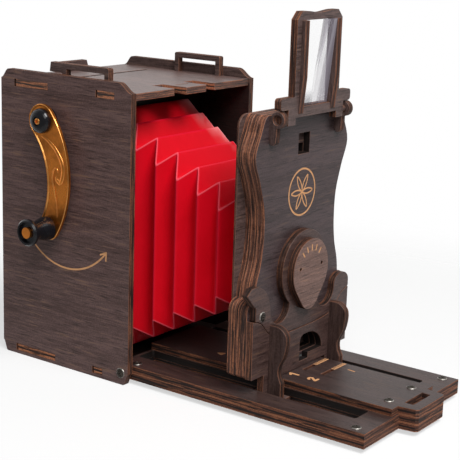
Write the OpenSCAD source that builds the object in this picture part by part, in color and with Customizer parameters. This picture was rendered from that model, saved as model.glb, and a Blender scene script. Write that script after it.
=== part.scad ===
// Folding pinhole camera for instant film, built up from laser-cut plywood sheets.
// X runs across the camera with the crank at -X, Y runs towards its back, Z is up.
// The origin is the mouth of the tripod bush, under the middle of the box.

/* [Sheet] */
// Thickness of one plywood sheet
ply = 3; // [2.8:0.1:3.3]
// Gap on each side of a tenon in its slot
tenon_gap = 0.05; // [0.02:0.01:0.1]
// Room behind a side panel's tenons in their slots
tenon_slack = 0.8; // [0.1:0.1:1]
// Radial gap of a turning fit
run_gap = 0.05; // [0.02:0.01:0.08]
// Radial gap of a fixed pin or bush in its hole
seat_gap = 0.02; // [0.01:0.01:0.04]
// Gap between flat pieces that move past each other
slide_gap = 0.3; // [0.2:0.05:0.4]

/* [Box] */
// Width over the side panels
box_w = 82.8; // [80:0.2:90]
// Depth of the side panels
box_d = 72.2; // [70:0.2:84]
// Height of the side panels above the film pack
head_h = 28.5; // [28:0.5:38]
// Drop from the top edge of the side panels to the top panel
top_drop = 4; // [3:0.5:5]
// Height of the bottom panel above the ground
floor_lift = 1.5; // [1:0.1:1.8]
// Length of the ogee at the front top corner of a side panel
ogee_front = 7.4; // [4:0.2:8]
// Length of the ogee at the rear top corner of a side panel
ogee_rear = 4.2; // [3:0.2:8]
// Height of the ogees
ogee_h = 3.9; // [2:0.1:6]
// Length of the cut bottom corners of a side panel
foot_cut = 2.4; // [1:0.2:4]
// Length of the top panel's spring tongue
tongue_l = 12.5; // [10:0.5:16]
// Width of the spring tongue
tongue_w = 13.5; // [12:0.5:26]
// How far the spring tongue stands out at the front
tongue_out = 0.2; // [0:0.1:3]
// Width of the slits beside the spring tongue
tongue_slit = 6.8; // [0.5:0.1:8]
// Length of a strap loop
loop_l = 25.4; // [22:0.2:30]
// Height of a strap loop above the top panel
loop_h = 8.6; // [7.6:0.1:12]
// Width of a strap loop's legs
loop_leg = 2.4; // [2:0.1:4]
// Width of the bar of a strap loop
loop_bar = 2.4; // [1.5:0.1:3]
// Distance of the strap loops from the box's front
loop_from_front = 14.6; // [14:0.2:16]
// How far the left loop's bar stands out behind its leg
loop_hook = 7; // [4:0.2:8]
// Height of the rear door's finger tab above the top panel
door_tab_h = 4.2; // [2:0.2:8]
// Width of the rear door's finger tab
door_tab_w = 19; // [14:0.5:24]

/* [Film and rollers] */
// Width of the film pack
pack_w = 62; // [60:0.5:64]
// Height of the film pack
pack_h = 92; // [88:0.5:92.5]
// Thickness of the film pack
pack_d = 19; // [17:0.5:19]
// Width of the picture
picture_w = 46; // [40:0.5:50]
// Height of the picture
picture_h = 62; // [50:0.5:66]
// Height of the picture's middle above the ground
picture_z = 53; // [46:0.5:58]
// Width of the film slot in the top panel
film_slot_w = 59; // [56:0.5:62]
// Width of the film slot from front to back
film_slot_d = 2.2; // [1.5:0.1:3]
// Radius of the two film rollers
roller_r = 6.4; // [5.8:0.1:6.6]
// Length of the rollers
roller_l = 56; // [54:0.5:58]
// Gap between the rollers, where the film passes
film_gap = 0.3; // [0.2:0.05:0.5]
// Teeth of each roller gear
gear_teeth = 16; // [14:2:20]
// Width of the roller gears
gear_w = 3; // [2:0.2:3]
// Play between the gear teeth, as an angle on each flank
gear_play = 0.9; // [0.6:0.1:1.4]

/* [Crank] */
// Distance of the crank's axis from the box's back
crank_from_back = 27.7; // [27:0.1:29]
// Depth of the crank's axis below the top edge of the side panels
crank_drop = 19; // [17:0.2:19]
// Height from the crank's axis down to the knob
throw_z = 44.5; // [40:0.5:46]
// Distance from the crank's axis forward to the knob
throw_y = 4; // [2:0.2:6]
// Radius of the crank's shaft
shaft_r = 2; // [1.8:0.1:2.3]
// Radius of the arm's outer edge
arm_r = 44.4; // [40:0.2:50]
// Radius of the arm's inner edge
arm_inner_r = 32.2; // [28:0.2:36]
// Radius of the arm's end round the hub
arm_hub_r = 7; // [6.4:0.1:8]
// Radius of the arm's end round the knob
arm_knob_r = 5.2; // [4.4:0.1:6]
// Thickness of the arm's plate
arm_t = 1.2; // [1:0.1:2.5]
// Height of the raised rim on the arm
arm_rim = 0.4; // [0.3:0.1:1]
// Width of the raised rim on the arm
arm_rim_w = 0.7; // [0.5:0.1:1.2]
// Length of the hub spacer between panel and arm
spacer_l = 3; // [0.8:0.1:6]
// Radius of the hub cap
hub_r = 5.2; // [4.5:0.1:6]
// Height of the hub cap
hub_h = 3.1; // [2.5:0.1:5]
// Length of the knob
knob_l = 13; // [9:0.2:16]
// Radius of the knob's end
knob_r = 5.6; // [5:0.1:7]
// Radius of the knob's waist
knob_waist = 3.7; // [3:0.1:4.6]
// Radius of the knob's axle
axle_r = 1.5; // [1.2:0.1:1.8]

/* [Bed] */
// Length of the bed in front of the box
bed_l = 110.6; // [108:0.2:125]
// Height of the bed's underside above the ground
bed_lift = 2; // [1.8:0.1:2.5]
// Length of the bed inside the box
bed_in = 8; // [7:0.2:9]
// Length of the latch tab
tab_l = 7.4; // [6:0.2:10]
// Width of the latch tab
tab_w = 24; // [22:0.5:28]
// Width of the latch hole
latch_w = 14; // [10:0.5:16]
// Length of the latch hole
latch_l = 3.7; // [3.4:0.1:4.4]
// Distance of the slots from the middle
slot_in = 17; // [16.8:0.1:18]
// Width of the bed slots
slot_w = 10; // [9:0.1:10.5]
// Distance of the slots from the bed's front end
slot_margin = 10.4; // [8:0.2:14]
// Width of the lips that hold the sliders down
slider_lip = 1.6; // [1:0.1:2]
// Width of the scale plate
plate_w = 33; // [30:0.5:33.4]
// Distance of the first focus slit from the box's front
mark_one = 60.4; // [60:0.2:64]
// Distance between the two focus slits
mark_step = 8.7; // [8:0.1:14]
// Length of the focus slits
mark_l = 8.2; // [6:0.2:12]
// Width of the focus slits
mark_w = 1.7; // [1:0.1:2]
// Distance of the focus slits' middle from the plate's middle
mark_x = 2.5; // [-2:0.5:8]
// Radius of the screw heads on bed and standard
screw_head_r = 2; // [1.6:0.1:2.4]
// Radius of the screw shanks
screw_r = 1.1; // [0.9:0.1:1.3]

/* [Standard] */
// Distance from the box's front to the rear of the standard's board
std_out = 45.5; // [40:0.5:55]
// Gap between the board's top and the underside of the top panel
board_gap = 0.7; // [0.4:0.1:1.5]
// Half width of the board at its bulge
bulge_w = 33.2; // [31:0.2:35]
// Half width of the board at its waist
waist_w = 25.6; // [23:0.2:27]
// Half width of the board at its foot
hip_w = 35; // [33.6:0.2:37]
// Height of the board's waist
waist_z = 70; // [66:0.5:74]
// Height of the shoulders over the board's foot
hip_z = 45.4; // [43:0.2:50]
// Height of the board's and apron's bottom edge
skirt_z = 14.6; // [12:0.2:18]
// Thickness of the bellows frame
bellows_frame_t = 1; // [0.8:0.1:1.5]
// Half width of the bellows frame
bellows_frame_w = 32; // [30:0.2:34]
// Height of the bellows frame's lower edge
bellows_frame_z = 30; // [26:0.5:34]
// Radius of the bellows frame's corners
bellows_frame_r = 5; // [2:0.5:8]
// Height of the pinhole above the ground
pinhole_z = 53.2; // [52:0.2:55]
// Radius of the ring on the anchor sheet
ring_r = 16; // [15:0.1:17]
// Radius of the opening in the ring
ring_bore = 5.5; // [4:0.1:6]
// Radius of the pinhole
pinhole_r = 0.3; // [0.2:0.05:0.5]
// Height of the legs' top, where the left fluke of the anchor ends
fluke_left = 52; // [50:0.2:54]
// Height where the right fluke of the anchor ends
fluke_right = 45.6; // [45:0.2:52]
// Half width of the anchor at its arms
anchor_w = 33.4; // [32:0.2:34.6]
// How far the beak of the left fluke stands out past the anchor's arm
beak_out = 6; // [3:0.2:7]
// Height of the anchor's lower edge at its middle
seam_middle = 28.4; // [27:0.2:30]
// Height of the anchor's lower edge at its ends
seam_end = 38.4; // [37:0.2:40]
// Place of the left edge of the apron's window, from the middle
apron_window_x = -1; // [-3:0.2:1]
// Width of the apron's window
apron_window_w = 16.8; // [14:0.2:18]
// Height of the apron's window above the scale plate
apron_window_h = 13.8; // [12:0.2:14.6]
// Width of the deep left end of the apron's window
apron_window_deep = 6.4; // [4:0.2:8]
// Length of the window's arch at its right end
apron_window_arch = 11; // [8:0.2:12]
// Distance of the standard's screws from the middle
std_screw_x = 29; // [28:0.2:31]
// Height of the standard's screws
std_screw_z = 39.4; // [39:0.2:42]
// Distance of the gussets from the middle
gusset_x = 20.6; // [20.4:0.1:21.5]
// Height of the gussets
gusset_h = 34.6; // [30:0.2:37]
// How far the gussets bulge to the front
gusset_bulge = 8; // [6:0.2:10]

/* [Shutter] */
// Radius of the shutter lever's disc
lever_r = 12.7; // [11:0.1:13.4]
// Distance from the disc's middle to the middle of the tail's round end
lever_tail = 10; // [9:0.2:13]
// Radius of the tail's round end
lever_tail_r = 6.6; // [3:0.2:7]
// Height of the lever's pivot above the pinhole
lever_pivot = 9.8; // [9:0.1:10.5]
// Radius of the pivot peg
peg_r = 1.5; // [1.2:0.1:1.6]

/* [Finder] */
// Height of the finder above its pivot
finder_h = 40.2; // [34:0.2:46]
// Width of the finder's frame
finder_w = 32; // [30:0.5:36]
// Width of the window opening in the frame
window_w = 26; // [24:0.5:28]
// Width of the bar over the window
finder_bar = 3.4; // [2.5:0.1:5]
// Distance of the finder's pivot in front of the board
finder_out = 3.5; // [3.5:0.1:5]
// Depth of the finder's pivot below the board's top
finder_drop = 1.4; // [0.8:0.1:2]
// Radius of the eye brackets
eye_r = 3.2; // [3:0.1:4]
// Depth of the eye brackets' legs on the board
eye_leg = 3.2; // [2.6:0.1:3.4]
// Distance of the eye brackets from the middle
eye_x = 22; // [21:0.2:23]
// How far the blades stand out in front of the frame
blade_out = 1.6; // [1:0.1:1.6]
// Height over which the blades taper at their feet
blade_taper = 14; // [6:0.5:18]
// Thickness of the finder's lens
lens_t = 1; // [0.8:0.1:2.5]

/* [Bellows] */
// Depth of the film works, from the box's back to the front of the bellows gate
works_d = 44.7; // [43:0.1:46.5]
// Half width of the bellows at the gate, inside the folds
bellows_rear_w = 25; // [22:0.1:27]
// Half width of the bellows at the standard, inside the folds
bellows_front_w = 13.4; // [12.6:0.1:15]
// Half height of the bellows at the gate, over the folds
bellows_rear_h = 55.2; // [50:0.2:55.4]
// Half height of the bellows at the standard, over the folds
bellows_front_h = 18; // [16:0.2:22]
// Height of the bellows' middle above the ground
bellows_z = 58.4; // [58:0.2:60]
// Depth of a fold
fold_depth = 7; // [5:0.2:7.4]
// Number of folded faces along the bellows
fold_faces = 15; // [11:2:19]
// Thickness of the bellows' leatherette
bellows_t = 0.6; // [0.4:0.1:0.8]

/* [Tripod bush] */
// Radius of the tripod thread
tripod_r = 3.175; // [3.175, 4.76]
// Depth of the tripod thread
tripod_l = 7.5; // [6:0.5:9]
// Radius of the bush
bush_r = 5.6; // [5.6:0.1:6.4]
// Radius of the bush's flange
bush_flange = 8; // [7.5:0.1:9]

/* [Hidden] */
$fn = 64;

stain = "#4a4140";
dark_ply = "#3c3433";
gilt = "#b98a35";
black = "#1b1b1d";
steel = "#b9bcc0";
red = "#c0142a";

// Box, built round the film pack that stands in it
half_w = box_w / 2;
gate_in = box_d - works_d;
half_in = half_w - ply;
back = works_d - ply - bush_r;
front = back - box_d;
floor_z = floor_lift + ply;
box_h = floor_z + pack_h + head_h;
top_z = box_h - top_drop;
roof_z = top_z - ply;
// Tenons of the top and bottom panels, from the box's front
top_tenons = [[8.9, 18], [45.2, 63.6]];
bottom_tenons = [[14, 18.8], [41, 63.5]];
door_axis_y = back - ply / 2;
door_axis_z = floor_z + 2 + ply / 2;
trunnion_l = 2;
trunnion_r = 1;

// Film path
crank_y = back - crank_from_back;
crank_z = box_h - crank_drop;
roller_c = 2 * roller_r + film_gap;
press_y = crank_y + roller_c;
nip_y = crank_y + roller_c / 2;
pack_y = nip_y - 1.6;
pack_front_gap = 0.2;
press_shaft_r = 1.5;
bush_wall = 1.5;
plate_margin = 9.2;
mask_top = crank_z - plate_margin - tenon_gap;
gear_gap = 0.5;
gear_x = roller_l / 2 + gear_gap;
pack_ribs = 5;

// Crank
arm_x = -half_w - spacer_l;
arm_face = arm_x - arm_t;
knob_y = crank_y - throw_y;
knob_z = crank_z - throw_z;
hub_wall = 0.8;
hub_seat_r = 1.95;
hub_seat = 0.6;
knob_gap = 0.4;
axle_head_r = axle_r + 0.8;
axle_head_t = 1.1;

// Bed
bed_front = front - bed_l;
bed_rear = front + bed_in;
bed_half = half_in - slide_gap;
bed_mid = bed_lift + ply;
bed_top = bed_mid + ply;
plate_top = bed_top + ply;
hinge_y = front + 3.9;
bed_screw_x = bed_half - 3.6;
slot_out = slot_in + slot_w;

// Standard: rear face of the board, then the sheets towards the front
std_y = front - std_out;
board_face = std_y - 3 * ply;
apron_face = board_face - ply;
board_top = roof_z - board_gap;
apron_z = plate_top + slide_gap;
slider_top = bed_mid - 0.2;
slider_t = slider_top - bed_lift - 0.3;
leg_in = slot_in + 2;
leg_out = slot_out - 0.5;
slider_front = 6.4;
slider_rear = 10;
well_half = bellows_front_w - 2.4;
well_margin = 3;
catch_half = 4;
keeper_w = 5.6;
keeper_h = 4.8;
kerf = 0.3;
pinhole_plate_r = 7;
pinhole_plate_t = 0.5;
lever_gap = 0.15;
lever_pivot_z = pinhole_z + lever_pivot;
fork_r = 6.6;
fork_x = 16.8;
fork_z = pinhole_z - sqrt(ring_r * ring_r - (fork_x - fork_r) * (fork_x - fork_r)) - 0.5;
fluke_z = fork_z + 1;
fluke_r = (hip_w - fork_x - fork_r) / 2;
fluke_x = fork_x + fork_r + fluke_r;
shoulder_r = 4;

// Finder
finder_y = board_face - finder_out;
finder_z = board_top - finder_drop;
lug_z = eye_r + 0.3;
eye_dish = 0.9;
lug_h = 4.6;
sill_z = lug_z + 0.4;
finder_half = finder_w / 2;
window_half = window_w / 2;
blade_in = window_half - ply;
foot_out = eye_x - 2.2;
foot_in = foot_out - 5.2;
lintel_z = finder_h - finder_bar;
lens_inset = 0.2;

// Curves and profiles

// S-shaped run of points from p to q
function ogee(p, q, n = 8) =
  [for (i = [0:n]) [p[0] + (q[0] - p[0]) * i / n, p[1] + (q[1] - p[1]) * (1 - cos(180 * i / n)) / 2]];

// Point at t between b and c on a smooth curve through a, b, c and d
function smooth(a, b, c, d, t) =
  ((2 * b) + (c - a) * t + (2 * a - 5 * b + 4 * c - d) * t * t + (3 * b - a - 3 * c + d) * t * t * t) / 2;

// Smooth curve through the points p, with n steps between two points
function curve(p, n = 5) = concat(
  [for (i = [0:len(p) - 2], k = [0:n - 1])
    smooth(p[max(i - 1, 0)], p[i], p[i + 1], p[min(i + 2, len(p) - 1)], k / n)],
  [p[len(p) - 1]]);

// Points on an arc around c from angle a0 to a1
function arc(c, r, a0, a1, n = 12) =
  [for (i = [0:n]) let (a = a0 + (a1 - a0) * i / n) c + r * [cos(a), sin(a)]];

// Points on an arc that lead up to its end, where the next arc starts
function arc_to(c, r, a0, a1, n = 12) =
  [for (i = [0:n - 1]) let (a = a0 + (a1 - a0) * i / n) c + r * [cos(a), sin(a)]];

// Direction from p to q, between 0 and 360
function heading(p, q) = let (a = atan2(q[1] - p[1], q[0] - p[0])) a < 0 ? a + 360 : a;

// Point at ra from the origin and at rb from b, on the left of the way from the origin to b
function meet(ra, b, rb) = let (d = norm(b), u = b / d, x = (d * d + ra * ra - rb * rb) / (2 * d))
  x * u + sqrt(ra * ra - x * x) * [-u[1], u[0]];

function mirrored(p) = [for (i = [len(p) - 1:-1:0]) [-p[i][0], p[i][1]]];

// Flat sheet standing across the camera, its rear face at y
module sheet_xz(y, t = ply) {
  translate([0, y, 0]) rotate([90, 0, 0]) linear_extrude(t) children();
}

// Flat sheet standing along the camera, its left face at x
module sheet_yz(x, t = ply) {
  translate([x, 0, 0]) rotate([90, 0, 90]) linear_extrude(t) children();
}

// Flat sheet lying down, its underside at z
module sheet_xy(z, t = ply) {
  translate([0, 0, z]) linear_extrude(t) children();
}

module box_2d(x0, x1, y0, y1) {
  translate([x0, y0]) square([x1 - x0, y1 - y0]);
}

// Rectangle with round corners
module round_box_2d(x0, x1, y0, y1, r) {
  box_2d(x0 + r, x1 - r, y0, y1);
  box_2d(x0, x1, y0 + r, y1 - r);
  for (x = [x0 + r, x1 - r], y = [y0 + r, y1 - r]) translate([x, y]) circle(r);
}

module rod_x(x0, x1, y, z, r) {
  translate([x0, y, z]) rotate([0, 90, 0]) cylinder(r = r, h = x1 - x0);
}

module rod_y(x, y0, y1, z, r) {
  translate([x, y1, z]) rotate([90, 0, 0]) cylinder(r = r, h = y1 - y0);
}

module both_sides() {
  children();
  mirror([1, 0, 0]) children();
}

// Round-headed wood screw pointing along -Z, its head's underside at the origin
module wood_screw(l, head = screw_head_r) {
  crown = 0.7;
  difference() {
    rotate_extrude() polygon(concat(
      [[0, -l], [screw_r * 0.5, -l], [screw_r, -l + 1.2], [screw_r, 0], [head, 0]],
      [for (a = [15:15:75]) [head * cos(a), crown * sin(a)]],
      [[0, crown]]));
    for (a = [45, 135]) rotate(a) translate([-head * 0.55, -head * 0.15, crown * 0.3])
      cube([head * 1.1, head * 0.3, crown]);
  }
}

// Box

module side_outline() {
  polygon(concat(
    [[front + foot_cut, 0], [back - foot_cut, 0]],
    ogee([back - foot_cut, 0], [back, 2 * foot_cut]),
    ogee([back, box_h - ogee_h], [back - ogee_rear, box_h]),
    ogee([front + ogee_front, box_h], [front, box_h - ogee_h]),
    ogee([front, 2 * foot_cut], [front + foot_cut, 0])));
}

module tenon_slots() {
  for (t = top_tenons)
    box_2d(front + t[0] - tenon_gap, front + t[1] + tenon_slack, roof_z - tenon_gap, top_z + tenon_gap);
  for (t = bottom_tenons)
    box_2d(front + t[0] - tenon_gap, front + t[1] + tenon_slack, floor_lift - tenon_gap, floor_z + tenon_gap);
}

// Side panel as seen at the left, with its inner face on the right
module side_panel() {
  difference() {
    sheet_yz(-half_w) difference() {
      side_outline();
      tenon_slots();
      translate([hinge_y, bed_mid]) circle(screw_r + seat_gap);
    }
    rod_x(-half_in - trunnion_l - slide_gap, -half_in + 1, door_axis_y, door_axis_z, trunnion_r + run_gap);
  }
}

module left_side_panel() {
  color(stain) difference() {
    side_panel();
    rod_x(-half_w - 1, -half_in + 1, crank_y, crank_z, shaft_r + run_gap + bush_wall + seat_gap);
  }
}

module right_side_panel() {
  color(stain) mirror([1, 0, 0]) side_panel();
}

module tenoned_sheet(tenons, y0) {
  box_2d(-half_in, half_in, y0, back);
  for (t = tenons) box_2d(-half_w, half_w, front + t[0], front + t[1]);
}

module top_panel() {
  color(stain) sheet_xy(roof_z) {
    difference() {
      tenoned_sheet(top_tenons, front + 0.6);
      both_sides() {
        box_2d(tongue_w / 2, tongue_w / 2 + tongue_slit, front - 1, front + tongue_l);
        for (y = loop_feet()) box_2d(half_in - ply - tenon_gap, half_in, y[0] - tenon_gap, y[1] + tenon_gap);
      }
      box_2d(-film_slot_w / 2, film_slot_w / 2, nip_y - film_slot_d / 2, nip_y + film_slot_d / 2);
      box_2d(-door_tab_w / 2 - slide_gap, door_tab_w / 2 + slide_gap, back - ply - slide_gap, back + 1);
      box_2d(-4, 4, front + 7.2, front + 8.2);
    }
    box_2d(-tongue_w / 2, tongue_w / 2, front - tongue_out, front + 0.7);
  }
}

module bottom_panel() {
  color(stain) sheet_xy(floor_lift) difference() {
    tenoned_sheet(bottom_tenons, bed_rear + 2);
    circle(bush_r + seat_gap);
  }
}

module rear_door() {
  half = half_in - slide_gap;
  tab = door_tab_w / 2;
  color(stain) {
    sheet_xz(back) {
      box_2d(-half, half, door_axis_z, roof_z - slide_gap);
      polygon([[-tab, roof_z - 1], [tab, roof_z - 1], [tab, top_z + door_tab_h - 2.2],
        [tab - 0.8, top_z + door_tab_h], [0.8 - tab, top_z + door_tab_h], [-tab, top_z + door_tab_h - 2.2]]);
    }
    rod_x(-half, half, door_axis_y, door_axis_z, ply / 2);
    rod_x(-half_in - trunnion_l, half_in + trunnion_l, door_axis_y, door_axis_z, trunnion_r);
  }
}

// Y ranges of a strap loop's two feet
function loop_feet() = [
  [front + loop_from_front, front + loop_from_front + loop_leg],
  [front + loop_from_front + loop_l - loop_leg, front + loop_from_front + loop_l]];

// Strap loop whose bar stands out by hook behind the rear leg
module strap_loop(hook) {
  y0 = front + loop_from_front;
  y1 = y0 + loop_l;
  tip = top_z + loop_h;
  sheet_yz(half_in - ply) polygon(concat(
    [[y0 + loop_leg, roof_z], [y0 + loop_leg, tip - loop_bar], [y1 - loop_leg, tip - loop_bar],
      [y1 - loop_leg, roof_z], [y1, roof_z]],
    hook > 0 ? [[y1, tip - loop_bar - 1.6], [y1 + hook, tip - loop_bar - 1.6], [y1 + hook - 0.6, tip]] :
      arc([y1 - 0.8, tip - 0.8], 0.8, 0, 90, 4),
    arc([y0 + 0.8, tip - 0.8], 0.8, 90, 180, 4), [[y0, roof_z]]));
}

module right_strap_loop() {
  color(stain) strap_loop(0);
}

module left_strap_loop() {
  color(stain) mirror([1, 0, 0]) strap_loop(loop_hook);
}

module bellows_gate() {
  color(dark_ply) sheet_xz(front + gate_in + ply) difference() {
    box_2d(-half_in, half_in, floor_z, roof_z);
    box_2d(-bellows_rear_w + 1, bellows_rear_w - 1, bellows_z - bellows_rear_h + fold_depth + 2,
      bellows_z + bellows_rear_h - fold_depth - 2);
  }
}

// Film

module film_mask() {
  color(dark_ply) sheet_xz(pack_y) difference() {
    box_2d(-half_in, half_in, floor_z, mask_top);
    box_2d(-picture_w / 2, picture_w / 2, picture_z - picture_h / 2, picture_z + picture_h / 2);
  }
}

module film_pack() {
  lip = 1.2;
  color(black) translate([0, pack_y, floor_z]) difference() {
    translate([-pack_w / 2, 0, 0]) cube([pack_w, pack_d, pack_h]);
    translate([-picture_w / 2, -1, picture_z - picture_h / 2 - floor_z])
      cube([picture_w, 1 + lip, picture_h]);
    translate([2 - film_slot_w / 2, lip, pack_h - 3]) cube([film_slot_w - 4, 1, 4]);
    for (i = [0:pack_ribs - 1])
      translate([1 - picture_w / 2, pack_d - 0.6, pack_h * (i + 0.5) / pack_ribs - 3])
        cube([picture_w - 2, 1, 6]);
  }
}

module pack_rails() {
  color(dark_ply) both_sides()
    translate([pack_w / 2 + pack_front_gap, pack_y, floor_z])
      cube([ply, 2 * ply, pack_h - 4]);
}

// Rollers and gears

module roller_plate_2d(crank_bore) {
  difference() {
    box_2d(crank_y - plate_margin, press_y + plate_margin, crank_z - plate_margin, roof_z);
    translate([crank_y, crank_z]) circle(crank_bore);
    translate([press_y, crank_z]) circle(press_shaft_r + run_gap);
  }
}

module left_roller_plate() {
  color(dark_ply) sheet_yz(-half_in) roller_plate_2d(shaft_r + run_gap + bush_wall + seat_gap);
}

module right_roller_plate() {
  color(dark_ply) sheet_yz(half_in - ply) roller_plate_2d(shaft_r + run_gap);
}

module shaft_bush() {
  color(gilt) difference() {
    rod_x(-half_w, -half_in + ply, crank_y, crank_z, shaft_r + run_gap + bush_wall);
    rod_x(-half_w - 1, -half_in + ply + 1, crank_y, crank_z, shaft_r + run_gap);
  }
}

module tripod_bush() {
  color(gilt) difference() {
    union() {
      cylinder(r = bush_flange, h = floor_lift);
      cylinder(r = bush_r, h = tripod_l + 1.5);
    }
    translate([0, 0, -1]) cylinder(r = tripod_r, h = tripod_l + 1);
  }
}

module drive_roller() {
  color("#3a3b3d") difference() {
    rod_x(-roller_l / 2, roller_l / 2, crank_y, crank_z, roller_r);
    rod_x(-roller_l, roller_l, crank_y, crank_z, shaft_r + seat_gap);
  }
}

module pressure_roller() {
  color(steel) difference() {
    rod_x(-roller_l / 2, roller_l / 2, press_y, crank_z, roller_r);
    rod_x(-roller_l, roller_l, press_y, crank_z, press_shaft_r + seat_gap);
  }
}

module pressure_shaft() {
  color(steel) rod_x(-half_in + slide_gap, half_in - slide_gap, press_y, crank_z, press_shaft_r);
}

// Involute of the base circle b at radius r, as a point turned by a and mirrored by s
function involute(b, r, a, s) =
  let (p = acos(min(b / r, 1)), t = s * (a - (tan(p) * 180 / PI - p))) r * [cos(t), sin(t)];

module gear_2d() {
  pitch_r = roller_c / 2;
  m = roller_c / gear_teeth;
  base = pitch_r * cos(20);
  tip = pitch_r + 0.85 * m;
  root = pitch_r - 1.2 * m;
  half_a = 90 / gear_teeth - gear_play + (tan(20) * 180 / PI - 20);
  steps = [0:4];
  flank = [for (k = steps) base + (tip - base) * k / 4];
  polygon([for (i = [0:gear_teeth - 1]) let (turn = i * 360 / gear_teeth)
    for (p = concat(
      [root * [cos(-half_a), sin(-half_a)]],
      [for (r = flank) involute(base, r, half_a, -1)],
      [for (k = [4:-1:0]) involute(base, flank[k], half_a, 1)],
      [root * [cos(half_a), sin(half_a)]]))
    [p[0] * cos(turn) - p[1] * sin(turn), p[0] * sin(turn) + p[1] * cos(turn)]]);
}

module roller_gear(y, bore, turn) {
  translate([0, y, crank_z]) sheet_yz(gear_x, gear_w) difference() {
    rotate(turn) gear_2d();
    circle(bore + seat_gap);
  }
}

module drive_gear() {
  color(gilt) roller_gear(crank_y, shaft_r, 0);
}

module pressure_gear() {
  color(gilt) roller_gear(press_y, press_shaft_r, 180 + 180 / gear_teeth);
}

// Crank

module crank_shaft() {
  color(steel) difference() {
    rod_x(arm_face, half_in - slide_gap, crank_y, crank_z, shaft_r);
    rod_x(arm_face - 1, arm_face + 7, crank_y, crank_z, screw_r + seat_gap);
  }
}

module hub_spacer() {
  color(black) difference() {
    rod_x(arm_x, -half_w - slide_gap, crank_y, crank_z, hub_r);
    rod_x(arm_x - 1, -half_w + 1, crank_y, crank_z, shaft_r + seat_gap);
  }
}

// Curved arm with the hub at the origin, drawn in by d all round
// Its round ends are joined by an outer and an inner arc that touch them
module arm_2d(d = 0) {
  hub = [0, 0];
  knob = [-throw_y, -throw_z];
  outer = meet(arm_r - arm_hub_r, knob, arm_r - arm_knob_r);
  inner = meet(arm_inner_r + arm_hub_r, knob, arm_inner_r + arm_knob_r);
  polygon(concat(
    arc_to(outer, arm_r - d, heading(outer, hub), heading(outer, knob), 16),
    arc_to(knob, arm_knob_r - d, heading(outer, knob), heading(inner, knob) + 180, 12),
    arc_to(inner, arm_inner_r + d, heading(inner, knob), heading(inner, hub), 12),
    arc_to(hub, arm_hub_r - d, heading(inner, hub) - 180, heading(outer, hub), 16)));
}

module crank_arm() {
  color(gilt) translate([0, crank_y, crank_z]) difference() {
    union() {
      sheet_yz(arm_face, arm_t) arm_2d();
      sheet_yz(arm_face - arm_rim, arm_rim) difference() {
        arm_2d();
        arm_2d(arm_rim_w);
      }
    }
    rod_x(arm_face - 2, arm_x + 1, 0, 0, shaft_r + seat_gap);
    rod_x(arm_face - 2, arm_x + 1, -throw_y, -throw_z, axle_r + seat_gap);
  }
}

module hub_cap() {
  color(black) translate([arm_face, crank_y, crank_z]) rotate([0, -90, 0]) rotate_extrude()
    polygon(concat(
      [[screw_r + seat_gap, 0], [hub_r, 0], [hub_r, hub_wall]],
      [for (a = [15:15:75]) [hub_seat_r + (hub_r - hub_seat_r) * cos(a),
        hub_wall + (hub_h - hub_wall) * sin(a)]],
      [[hub_seat_r, hub_h], [hub_seat_r, hub_h - hub_seat], [screw_r + seat_gap, hub_h - hub_seat]]));
}

module hub_screw() {
  color(gilt) translate([arm_face - hub_h + hub_seat, crank_y, crank_z]) rotate([0, -90, 0])
    wood_screw(8, hub_seat_r - 0.5);
}

module knob_axle() {
  color(gilt) {
    rod_x(arm_face - knob_l, arm_x, knob_y, knob_z, axle_r);
    translate([axle_head_t - knob_gap, 0, 0])
      rod_x(arm_face - knob_l - axle_head_t, arm_face - knob_l, knob_y, knob_z, axle_head_r);
  }
}

module crank_knob() {
  bore = axle_r + run_gap;
  flange = knob_r - 0.6;
  dish = knob_r - 1.3;
  floor_h = knob_l - axle_head_t - 0.2;
  waist_h = knob_l - 4.4;
  color(black) translate([arm_face - knob_gap, knob_y, knob_z]) rotate([0, -90, 0]) rotate_extrude()
    polygon(concat(
      [[bore, 0.2], [flange - 0.6, 0.2], [flange, 0.8]],
      [for (i = [0:6]) [knob_waist + (flange - knob_waist) * (1 + cos(30 * i)) / 2,
        1.6 + (waist_h - 1.6) * i / 6]],
      [[knob_waist, knob_l - 3.7], [knob_waist + 0.3, knob_l - 3], [knob_waist + 1.1, knob_l - 2.5]],
      [[knob_r - 0.3, knob_l - 2.2], [knob_r, knob_l - 1.8], [knob_r, knob_l - 0.7], [knob_r - 0.6, knob_l]],
      [[dish, knob_l], [dish, floor_h], [bore, floor_h]]));
}

// Bed

// Long outline of the bed with its latch tab
module tabbed_2d(half, y_front, y_rear) {
  tab_y = bed_front - tab_l;
  difference() {
    union() {
      box_2d(-half, half, y_front, y_rear);
      polygon([[-tab_w / 2, y_front + 1], [-tab_w / 2, y_front], [-tab_w / 2 + 0.9, tab_y + 1],
        [-tab_w / 2 + 1.9, tab_y], [tab_w / 2 - 1.9, tab_y], [tab_w / 2 - 0.9, tab_y + 1],
        [tab_w / 2, y_front], [tab_w / 2, y_front + 1]]);
    }
    box_2d(-latch_w / 2, latch_w / 2, bed_front - latch_l + 0.6, bed_front + 0.6);
  }
}

module bed_screw_places() {
  for (x = [-bed_screw_x, bed_screw_x], y = [bed_front + 5.6, front + 0.6]) translate([x, y]) children();
}

module plate_screw_places() {
  for (x = [-9, 9]) translate([x, bed_front + 6.4]) children();
}

// One bed sheet whose slots are wider by lip on each side
module bed_sheet_2d(lip) {
  difference() {
    tabbed_2d(bed_half, bed_front, bed_rear);
    both_sides() round_box_2d(slot_in - lip, slot_out + lip, bed_front + slot_margin, bed_rear - 1.5, 1);
    bed_screw_places() circle(screw_r + seat_gap);
    plate_screw_places() circle(screw_r + seat_gap);
  }
}

module hinge_holes() {
  both_sides() rod_x(half_in - 9, half_w, hinge_y, bed_mid, screw_r + seat_gap);
}

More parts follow.
